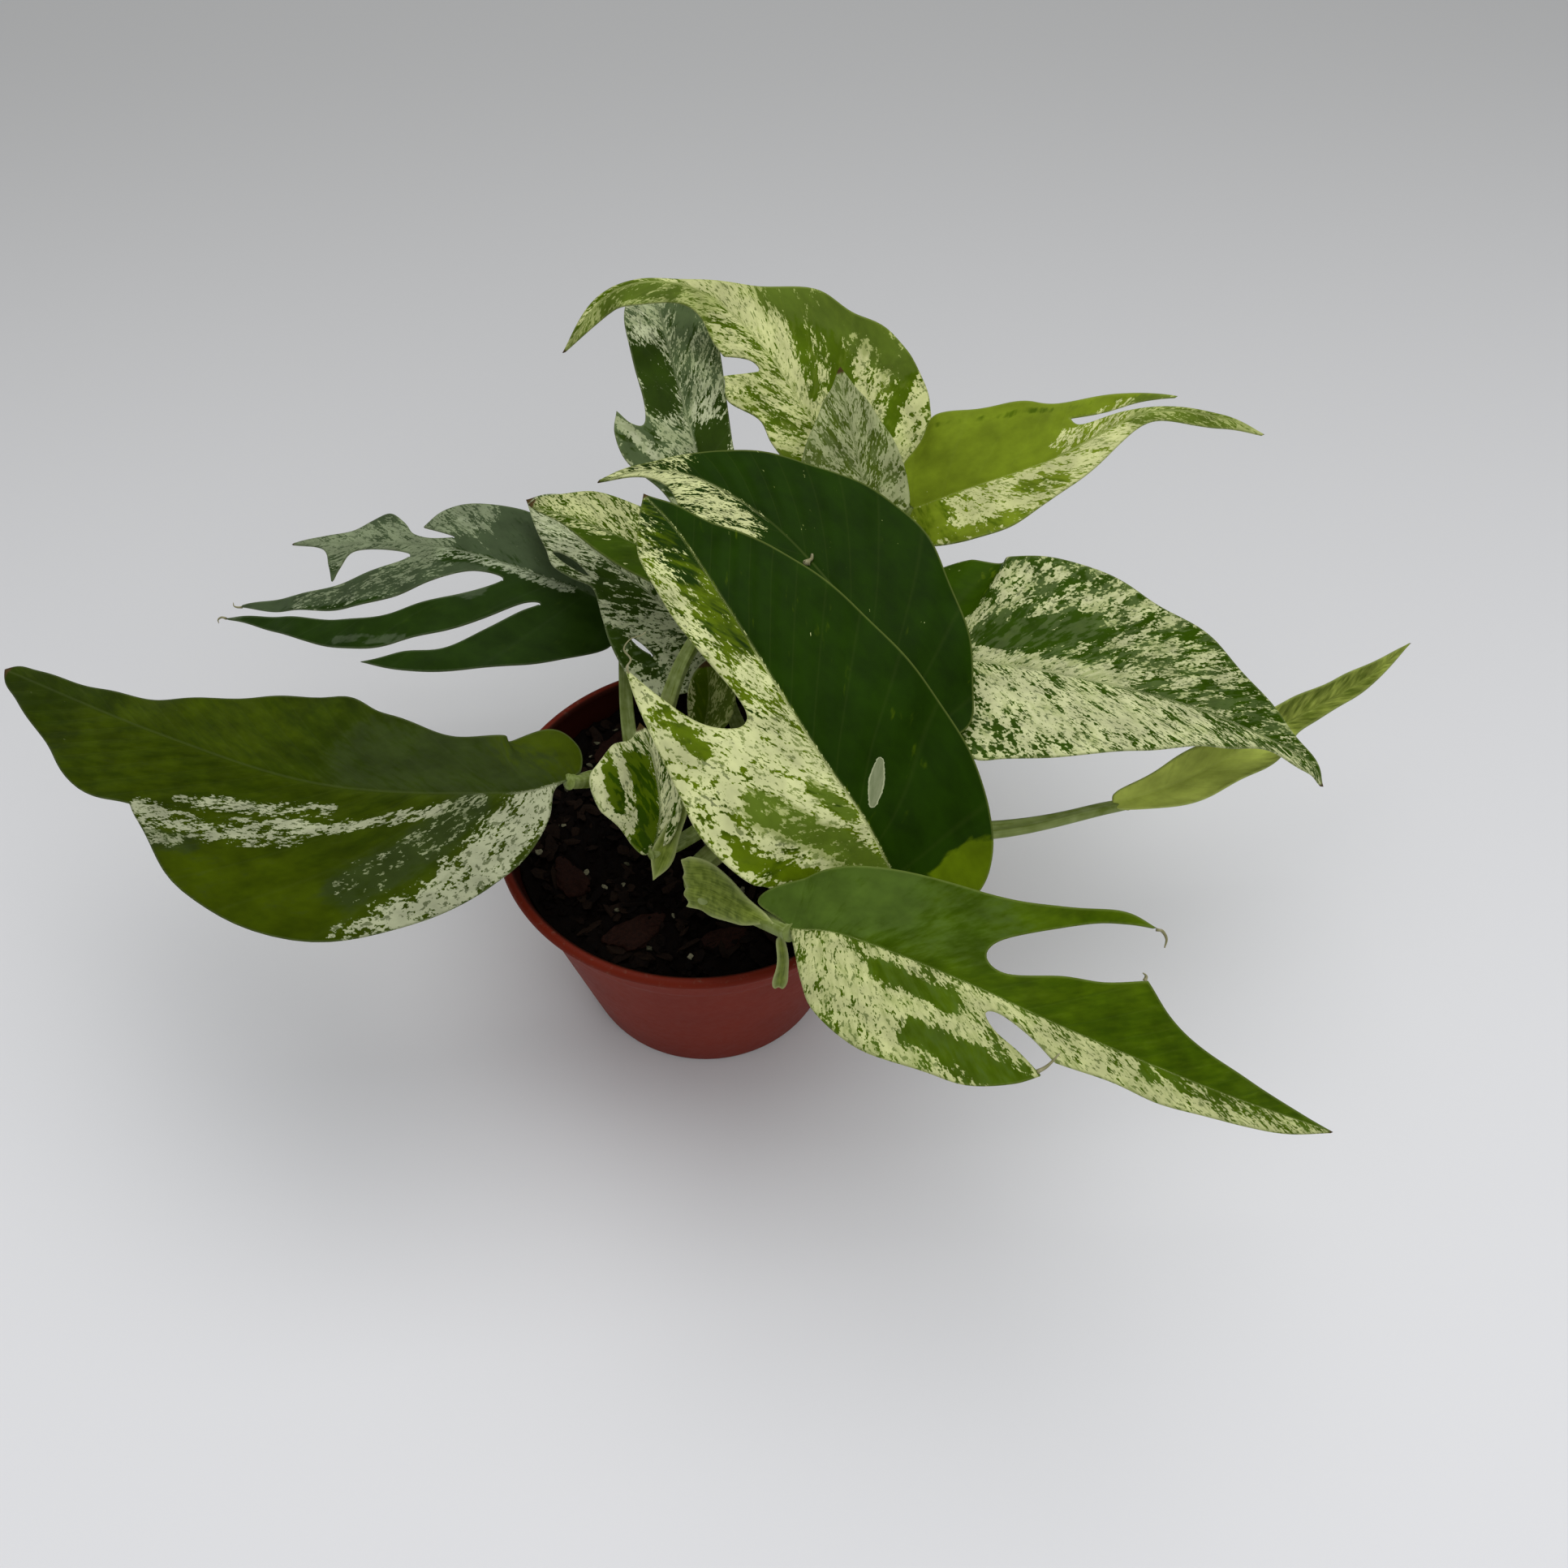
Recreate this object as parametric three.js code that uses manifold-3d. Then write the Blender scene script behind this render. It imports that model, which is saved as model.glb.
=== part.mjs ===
// A potted marble pothos: a lobed, cream-marbled climbing aroid in a small plastic nursery pot.
// Millimetres, +Z up. The origin is the centre of the pot's base, on the surface it stands on.
// +X is to the plant's right and -Y is its front, the side on which the soil shows.
import * as THREE from "three";
import { ConvexGeometry } from "three/addons/geometries/ConvexGeometry.js";
import { mergeVertices } from "three/addons/utils/BufferGeometryUtils.js";
import Module from "manifold-3d";

const wasm = await Module();
wasm.setup();

// ---- Driving dimensions -------------------------------------------------------------------
const RIM_RADIUS = 53; // outside of the rolled rim
const BASE_RADIUS = 34.5; // outside of the wall where it meets the base
const POT_HEIGHT = 69;
const WALL = 1.2;
const COLLAR_HEIGHT = 12; // the slightly wider band under the rim
const COLLAR_STEP = 0.7;
const RIM_ROLL = 1.5; // radius of the rolled edge
const CHANNEL_INNER = 12; // the raised drainage channel in the base runs between these radii
const CHANNEL_OUTER = 27;
const CHANNEL_RISE = 2.5;
const DRAIN_HOLE_RADIUS = 3.2;
const DRAIN_HOLES = 6;
const POT_SEGMENTS = 36;
const SOIL_LEVEL = 61.5;
const SOIL_BUMP = 1.1;
const FIT_GAP = 0.4; // clearance between neighbouring solids
const BLADE_THICKNESS = 0.9;
const PETIOLE_SIDES = 6;
const STALK_SETBACK = 1.7; // between the end of a stalk and the base of its blade
const OUTLINE_STEPS = 3; // straight pieces between two margin points
const OUTLINE_TOLERANCE = 0.25; // how far the straight pieces may stray from the margin
const BLADE_GRID = 12; // spacing of the vertices inside a blade

// ---- Small vector helpers -----------------------------------------------------------------
const add = (a, b) => a.map((v, i) => v + b[i]);
const scale = (a, k) => a.map((v) => v * k);
const subtract = (a, b) => a.map((v, i) => v - b[i]);
const dot = (a, b) => a.reduce((sum, v, i) => sum + v * b[i], 0);
const cross = (a, b) => [
  a[1] * b[2] - a[2] * b[1],
  a[2] * b[0] - a[0] * b[2],
  a[0] * b[1] - a[1] * b[0],
];
const unit = (a) => scale(a, 1 / Math.hypot(...a));
const mix = (a, b, t) => a.map((v, i) => v + (b[i] - v) * t);
const radians = (degrees) => (degrees * Math.PI) / 180;

function indexedGeometry(vertices, faces) {
  const geometry = new THREE.BufferGeometry();
  geometry.setAttribute("position", new THREE.Float32BufferAttribute(vertices.flat(), 3));
  geometry.setIndex(faces);
  return geometry;
}

// A closed geometry as a solid that can be joined and cut.
function solidOf(geometry) {
  const bare = geometry.clone();
  bare.deleteAttribute("normal");
  bare.deleteAttribute("uv");
  const merged = mergeVertices(bare, 1e-3);
  const vertProperties = merged.attributes.position.array;
  const triVerts = new Uint32Array(merged.index.array);
  return new wasm.Manifold(new wasm.Mesh({ numProp: 3, vertProperties, triVerts }));
}

// A solid as a geometry again.
function geometryOf(solid) {
  const mesh = solid.getMesh();
  const vertices = [];
  for (let i = 0; i < mesh.numVert; i++) {
    const at = i * mesh.numProp;
    vertices.push([...mesh.vertProperties.subarray(at, at + 3)]);
  }
  return indexedGeometry(vertices, [...mesh.triVerts]);
}

// A smooth curve through the given points, with so many steps between neighbours.
function smoothCurve(points, steps) {
  const last = points.length - 1;
  const first = subtract(scale(points[0], 2), points[1]);
  const beyond = subtract(scale(points[last], 2), points[last - 1]);
  const all = [first, ...points, beyond];
  const out = [];
  for (let i = 1; i <= last; i++) {
    const [a, b, c, d] = all.slice(i - 1, i + 3);
    for (let k = 0; k < steps; k++) {
      const t = k / steps;
      out.push(
        b.map((v, j) => {
          const slope = c[j] - a[j];
          const bend = 2 * a[j] - 5 * v + 4 * c[j] - d[j];
          const twist = 3 * v - a[j] - 3 * c[j] + d[j];
          return v + 0.5 * t * (slope + t * (bend + t * twist));
        }),
      );
    }
  }
  out.push(points[last]);
  return out;
}

// A closed outline: smooth through its points, with a corner at each point marked 1.
function smoothOutline(points, steps) {
  const corners = points.map((p, i) => (p[2] ? i : -1)).filter((i) => i >= 0);
  const out = [];
  corners.forEach((start, n) => {
    const end = corners[(n + 1) % corners.length];
    const piece = [];
    for (let i = start; ; i = (i + 1) % points.length) {
      piece.push(points[i].slice(0, 2));
      if (i === end && piece.length > 1) break;
    }
    out.push(...smoothCurve(piece, steps).slice(0, -1));
  });
  return out;
}

// ---- Blades: a flat outline, bent along a spine and folded about its midrib ----------------
// The spine as a table: for a distance along it, the point and the three directions there
// (along the midrib, across the blade to its left, and out of its upper face).
function spineTable(spine, face, tipFace) {
  const points = smoothCurve(spine, 24);
  const table = [];
  let length = 0;
  points.forEach((p, i) => {
    if (i) length += Math.hypot(...subtract(p, points[i - 1]));
    const before = points[Math.max(i - 1, 0)];
    const after = points[Math.min(i + 1, points.length - 1)];
    const along = unit(subtract(after, before));
    const wanted = unit(mix(face, tipFace, i / (points.length - 1)));
    const up = unit(subtract(wanted, scale(along, dot(wanted, along))));
    table.push({ at: length, point: p, along, up, across: cross(up, along) });
  });
  return table;
}

function spineAt(table, x) {
  const end = table[table.length - 1];
  if (x <= 0) return { ...table[0], point: add(table[0].point, scale(table[0].along, x)) };
  if (x >= end.at) return { ...end, point: add(end.point, scale(end.along, x - end.at)) };
  let i = 1;
  while (table[i].at < x) i++;
  const a = table[i - 1];
  const b = table[i];
  const t = (x - a.at) / (b.at - a.at);
  return {
    point: mix(a.point, b.point, t),
    across: unit(mix(a.across, b.across, t)),
    up: unit(mix(a.up, b.up, t)),
  };
}

// Where the flat point (x along the midrib, y to its left, h above the face) goes. Each half
// leaves the midrib at its fold angle, and that angle grows by its curl every 30 mm outwards.
function bend(leaf, table, x, y, h) {
  const side = y > 0 ? 0 : 1;
  const sign = side ? -1 : 1;
  const start = radians(leaf.fold[side]);
  const turn = radians(leaf.curl[side] || 1e-4) / 30;
  const angle = start + turn * Math.abs(y);
  const out = (Math.sin(angle) - Math.sin(start)) / turn;
  const rise = (Math.cos(start) - Math.cos(angle)) / turn;
  const [waveHeight, waveLength, wavePhase] = leaf.wave || [0, 30, 0];
  const edge = Math.min(Math.abs(y) / 25, 1);
  const ripple = waveHeight * edge * edge * Math.sin((2 * Math.PI * x) / waveLength + wavePhase);
  const tilt = Math.abs(y) < 0.01 ? 0 : angle;
  const s = spineAt(table, x);
  const acrossPart = sign * (out - h * Math.sin(tilt));
  const upPart = rise + ripple + h * Math.cos(tilt);
  return add(s.point, add(scale(s.across, acrossPart), scale(s.up, upPart)));
}

function leafOutline(leaf, length) {
  const right = leaf.right.map(([x, y, corner]) => [x, -y, corner]);
  const left = [...leaf.left].reverse();
  return smoothOutline([[0, 0, 1], ...right, [length, 0, 1], ...left], OUTLINE_STEPS);
}

// Leaves out the points that lie almost on the line between their neighbours.
function thinOut(points) {
  const kept = [points[0]];
  for (let i = 1; i < points.length; i++) {
    const a = kept[kept.length - 1];
    const b = points[i];
    const c = points[(i + 1) % points.length];
    const line = subtract(c, a);
    const length = Math.hypot(...line) || 1;
    const off = Math.abs(line[0] * (b[1] - a[1]) - line[1] * (b[0] - a[0])) / length;
    const doublesBack = dot(line, subtract(b, a)) <= 0;
    if (off > OUTLINE_TOLERANCE || length > 14 || doublesBack) kept.push(b);
  }
  return kept;
}

const area = (a, b, c) => (b[0] - a[0]) * (c[1] - a[1]) - (c[0] - a[0]) * (b[1] - a[1]);

function distanceToLoop(p, loop) {
  return Math.min(
    ...loop.map((a, i) => {
      const line = subtract(loop[(i + 1) % loop.length], a);
      const t = dot(subtract(p, a), line) / (dot(line, line) || 1);
      return Math.hypot(...subtract(p, add(a, scale(line, Math.min(Math.max(t, 0), 1)))));
    }),
  );
}

function isInside(p, loop) {
  let inside = false;
  loop.forEach((a, i) => {
    const b = loop[(i + 1) % loop.length];
    if (a[1] > p[1] === b[1] > p[1]) return;
    if (p[0] < a[0] + ((p[1] - a[1]) / (b[1] - a[1])) * (b[0] - a[0])) inside = !inside;
  });
  return inside;
}

// Vertices inside a blade: a row on the midrib, and staggered rows to both sides of it.
function innerPoints(outline, holes, length) {
  const points = [];
  const rows = 4;
  for (let row = -rows; row <= rows; row++) {
    const shift = row % 2 ? BLADE_GRID / 2 : 0;
    for (let x = shift - BLADE_GRID; x < length; x += BLADE_GRID) {
      const p = [x, row * BLADE_GRID * 0.87];
      const loops = [outline, ...holes];
      const clear = Math.min(...loops.map((loop) => distanceToLoop(p, loop)));
      const solid = isInside(p, outline) && !holes.some((hole) => isInside(p, hole));
      if (solid && clear > BLADE_GRID * 0.35) points.push(p);
    }
  }
  return points;
}

// Swaps the diagonal of each pair of triangles until no triangle's circle holds a neighbour.
function improveTriangles(points, triangles) {
  const inCircle = (a, b, c, d) => {
    const [ax, ay] = subtract(a, d);
    const [bx, by] = subtract(b, d);
    const [cx, cy] = subtract(c, d);
    const aa = ax * ax + ay * ay;
    const bb = bx * bx + by * by;
    const cc = cx * cx + cy * cy;
    return aa * (bx * cy - by * cx) - bb * (ax * cy - ay * cx) + cc * (ax * by - ay * bx) > 1e-6;
  };
  for (let round = 0, changed = true; changed && round < 60; round++) {
    changed = false;
    const owner = new Map();
    triangles.forEach((t, n) => {
      for (let k = 0; k < 3; k++) owner.set(t[k] + "," + t[(k + 1) % 3], [n, t[(k + 2) % 3]]);
    });
    const touched = new Set();
    for (const [edge, [n, c]] of owner) {
      const [a, b] = edge.split(",").map(Number);
      const other = owner.get(b + "," + a);
      if (!other || touched.has(n) || touched.has(other[0])) continue;
      const d = other[1];
      const [A, B, C, D] = [a, b, c, d].map((i) => points[i]);
      if (!inCircle(A, B, C, D) || area(C, A, D) <= 1e-6 || area(D, B, C) <= 1e-6) continue;
      triangles[n] = [c, a, d];
      triangles[other[0]] = [d, b, c];
      touched.add(n).add(other[0]);
      changed = true;
    }
  }
  return triangles;
}

// Splits the triangle round the given point into three that meet at it.
function insertPoint(points, triangles, index) {
  const p = points[index];
  const least = ([a, b, c]) =>
    Math.min(
      area(points[a], points[b], p),
      area(points[b], points[c], p),
      area(points[c], points[a], p),
    );
  const home = triangles.findIndex((t) => least(t) >= -1e-9);
  const [a, b, c] = triangles[home];
  triangles[home] = [a, b, index];
  triangles.push([b, c, index], [c, a, index]);
}

// A blade as a closed sheet: its flat outline filled with triangles, doubled, and bent.
function bladeGeometry(leaf, thickness = BLADE_THICKNESS) {
  const table = spineTable(leaf.spine, leaf.face, leaf.tipFace || leaf.face);
  const length = table[table.length - 1].at;
  const outline = thinOut(leafOutline(leaf, length));
  const holes = leaf.holes || [];
  const inner = innerPoints(outline, holes, length);
  const points = [...outline, ...holes.flat(), ...inner];
  const vector = (p) => new THREE.Vector2(p[0], p[1]);
  const loops = holes.map((hole) => hole.map(vector));
  const filled = THREE.ShapeUtils.triangulateShape(outline.map(vector), loops);
  const total = filled.reduce((sum, [a, b, c]) => sum + area(points[a], points[b], points[c]), 0);
  const turned = filled.map(([a, b, c]) => (total > 0 ? [a, b, c] : [a, c, b]));
  inner.forEach((p, i) => {
    insertPoint(points, turned, points.length - inner.length + i);
    improveTriangles(points, turned);
  });
  const triangles = improveTriangles(points, turned);
  const count = points.length;
  const directed = new Set(triangles.flatMap(([a, b, c]) => [a + "," + b, b + "," + c, c + "," + a]));
  const faces = [];
  for (const [a, b, c] of triangles) {
    faces.push(a, b, c, count + a, count + c, count + b);
    for (const [p, q] of [[a, b], [b, c], [c, a]]) {
      if (!directed.has(q + "," + p)) faces.push(q, p, count + p, q, count + p, count + q);
    }
  }
  const half = thickness / 2;
  const top = points.map(([x, y]) => bend(leaf, table, x, y, half));
  const bottom = points.map(([x, y]) => bend(leaf, table, x, y, -half));
  return indexedGeometry([...top, ...bottom], faces);
}

// ---- Stems and leaf stalks: a round tube whose radius is a function of the way along it -----
function tubeGeometry(path, radius, sides, steps) {
  const centre = smoothCurve(path, steps);
  const rings = [];
  let up = [0.31, -0.83, 0.46];
  centre.forEach((p, i) => {
    const before = centre[Math.max(i - 1, 0)];
    const after = centre[Math.min(i + 1, centre.length - 1)];
    const along = unit(subtract(after, before));
    up = unit(subtract(up, scale(along, dot(up, along))));
    const across = cross(along, up);
    const r = radius(i / (centre.length - 1));
    const ring = [];
    for (let k = 0; k < sides; k++) {
      const a = (2 * Math.PI * k) / sides;
      ring.push(add(p, add(scale(up, r * Math.cos(a)), scale(across, r * Math.sin(a)))));
    }
    rings.push(ring);
  });
  return ringGeometry(rings);
}

// A closed surface from a stack of rings, each turning the same way round, with flat ends.
function ringGeometry(rings) {
  const sides = rings[0].length;
  const centreOf = (ring) => scale(ring.reduce((s, p) => add(s, p), [0, 0, 0]), 1 / sides);
  const vertices = [...rings.flat(), centreOf(rings[0]), centreOf(rings[rings.length - 1])];
  const start = rings.length * sides;
  const faces = [];
  for (let i = 0; i < rings.length; i++) {
    for (let k = 0; k < sides; k++) {
      const next = (k + 1) % sides;
      const a = i * sides + k;
      const b = i * sides + next;
      if (i < rings.length - 1) faces.push(a, b, b + sides, a, b + sides, a + sides);
      if (i === 0) faces.push(start, b, a);
      if (i === rings.length - 1) faces.push(start + 1, a, b);
    }
  }
  return indexedGeometry(vertices, faces);
}

function stalkSolid(stalk) {
  const [start, end] = stalk.radius;
  // The stalk thins upwards and swells again at the joint under the blade.
  const radius = (t) => start + (end - start) * t + 0.35 * Math.exp(-(((t - 0.96) / 0.05) ** 2));
  // It ends a little short of the blade's own base.
  const last = stalk.path[stalk.path.length - 1];
  const back = unit(subtract(stalk.path[stalk.path.length - 2], last));
  const path = [...stalk.path.slice(0, -1), add(last, scale(back, STALK_SETBACK))];
  const tube = solidOf(tubeGeometry(path, radius, PETIOLE_SIDES, 3));
  const wings = (stalk.wings || []).map((wing) => solidOf(bladeGeometry(wing)));
  return wings.reduce((whole, wing) => whole.add(wing), tube);
}

// ---- Pot ----------------------------------------------------------------------------------
function wallRadius(z) {
  return BASE_RADIUS + (RIM_RADIUS - RIM_ROLL - COLLAR_STEP - BASE_RADIUS) * (z / POT_HEIGHT);
}

function potProfile() {
  const collar = POT_HEIGHT - COLLAR_HEIGHT;
  const top = POT_HEIGHT - RIM_ROLL;
  const rim = [];
  const rollCentre = RIM_RADIUS - RIM_ROLL;
  for (let k = 0; k <= 6; k++) {
    const a = radians(-60 + (k * 240) / 6);
    rim.push([rollCentre + RIM_ROLL * Math.cos(a), top + RIM_ROLL * Math.sin(a)]);
  }
  const outside = [
    [0, 0],
    [CHANNEL_INNER, 0],
    [CHANNEL_INNER + 1, CHANNEL_RISE],
    [CHANNEL_OUTER - 1, CHANNEL_RISE],
    [CHANNEL_OUTER, 0],
    [BASE_RADIUS - 1.5, 0],
    [BASE_RADIUS - 0.4, 0.4],
    [wallRadius(1.5), 1.5],
    [wallRadius(collar - 1), collar - 1],
    [wallRadius(collar) + COLLAR_STEP, collar],
    [wallRadius(top - 2) + COLLAR_STEP, top - 2],
  ];
  const inside = [
    [wallRadius(collar) + COLLAR_STEP - WALL, collar],
    [wallRadius(collar - 1) - WALL, collar - 1],
    [wallRadius(WALL) - WALL, WALL],
    [CHANNEL_OUTER + 1, WALL],
    [CHANNEL_OUTER, CHANNEL_RISE + WALL],
    [CHANNEL_INNER, CHANNEL_RISE + WALL],
    [CHANNEL_INNER - 1, WALL],
    [0, WALL],
  ];
  return [...outside, ...rim, ...inside];
}

function potSolid() {
  const profile = potProfile().map(([r, z]) => new THREE.Vector2(r, z));
  const lathe = new THREE.LatheGeometry(profile, POT_SEGMENTS).rotateX(Math.PI / 2);
  const radius = (CHANNEL_INNER + CHANNEL_OUTER) / 2;
  let shell = solidOf(lathe);
  for (let k = 0; k < DRAIN_HOLES; k++) {
    const a = (2 * Math.PI * k) / DRAIN_HOLES;
    const hole = new THREE.CylinderGeometry(DRAIN_HOLE_RADIUS, DRAIN_HOLE_RADIUS, 12, 12);
    hole.rotateX(Math.PI / 2).translate(radius * Math.cos(a), radius * Math.sin(a), 3);
    shell = shell.subtract(solidOf(hole));
  }
  return shell;
}

// ---- Soil: fills the pot to just under the collar's top, with a gently lumpy surface --------
function soilHeight(x, y) {
  const lumps = Math.sin(x / 6.1 + 0.7) * Math.cos(y / 7.3 - 0.4) + 0.5 * Math.sin((x + y) / 3.9);
  const mound = 1.2 * Math.exp(-(x * x + y * y) / 600);
  return SOIL_LEVEL + mound + SOIL_BUMP * 0.7 * lumps;
}

function soilSolid(cutters) {
  const bottom = CHANNEL_RISE + WALL + FIT_GAP;
  const segments = 30;
  const edge = wallRadius(SOIL_LEVEL - COLLAR_HEIGHT) - WALL - FIT_GAP;
  const ring = (r, height) => {
    const points = [];
    for (let k = 0; k < segments; k++) {
      const a = (2 * Math.PI * k) / segments;
      const x = r * Math.cos(a);
      const y = r * Math.sin(a);
      points.push([x, y, height(x, y)]);
    }
    return points;
  };
  const collar = POT_HEIGHT - COLLAR_HEIGHT - 2;
  const rings = [
    ring(wallRadius(bottom) - WALL - FIT_GAP, () => bottom),
    ring(wallRadius(collar) - WALL - FIT_GAP, () => collar),
    ring(wallRadius(SOIL_LEVEL) - WALL - FIT_GAP, (x, y) => soilHeight(x, y) - 0.8),
  ];
  for (const part of [0.88, 0.68, 0.48, 0.28, 0.1]) rings.push(ring(edge * part, soilHeight));
  return cutters.reduce((whole, cutter) => whole.subtract(cutter), solidOf(ringGeometry(rings)));
}

// A flake of bark: a hull of a few points on a squashed, irregular oval.
function barkSolid({ at, size, turn }, margin = 0) {
  const [long, wide, thick] = size.map((v) => v + 2 * margin);
  const points = [];
  for (let k = 0; k < 7; k++) {
    const a = (2 * Math.PI * k) / 7;
    const uneven = 1 + 0.16 * Math.sin(3 * a + turn);
    const x = (long / 2) * uneven * Math.cos(a);
    const y = (wide / 2) * uneven * Math.sin(a);
    points.push(new THREE.Vector3(x, y, 0), new THREE.Vector3(x * 0.8, y * 0.8, thick));
  }
  const flake = new ConvexGeometry(points);
  flake.rotateX(0.07 * Math.sin(turn)).rotateY(0.09).rotateZ(turn);
  flake.translate(at[0], at[1], soilHeight(at[0], at[1]) - 0.4 - margin);
  return solidOf(flake);
}

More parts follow.
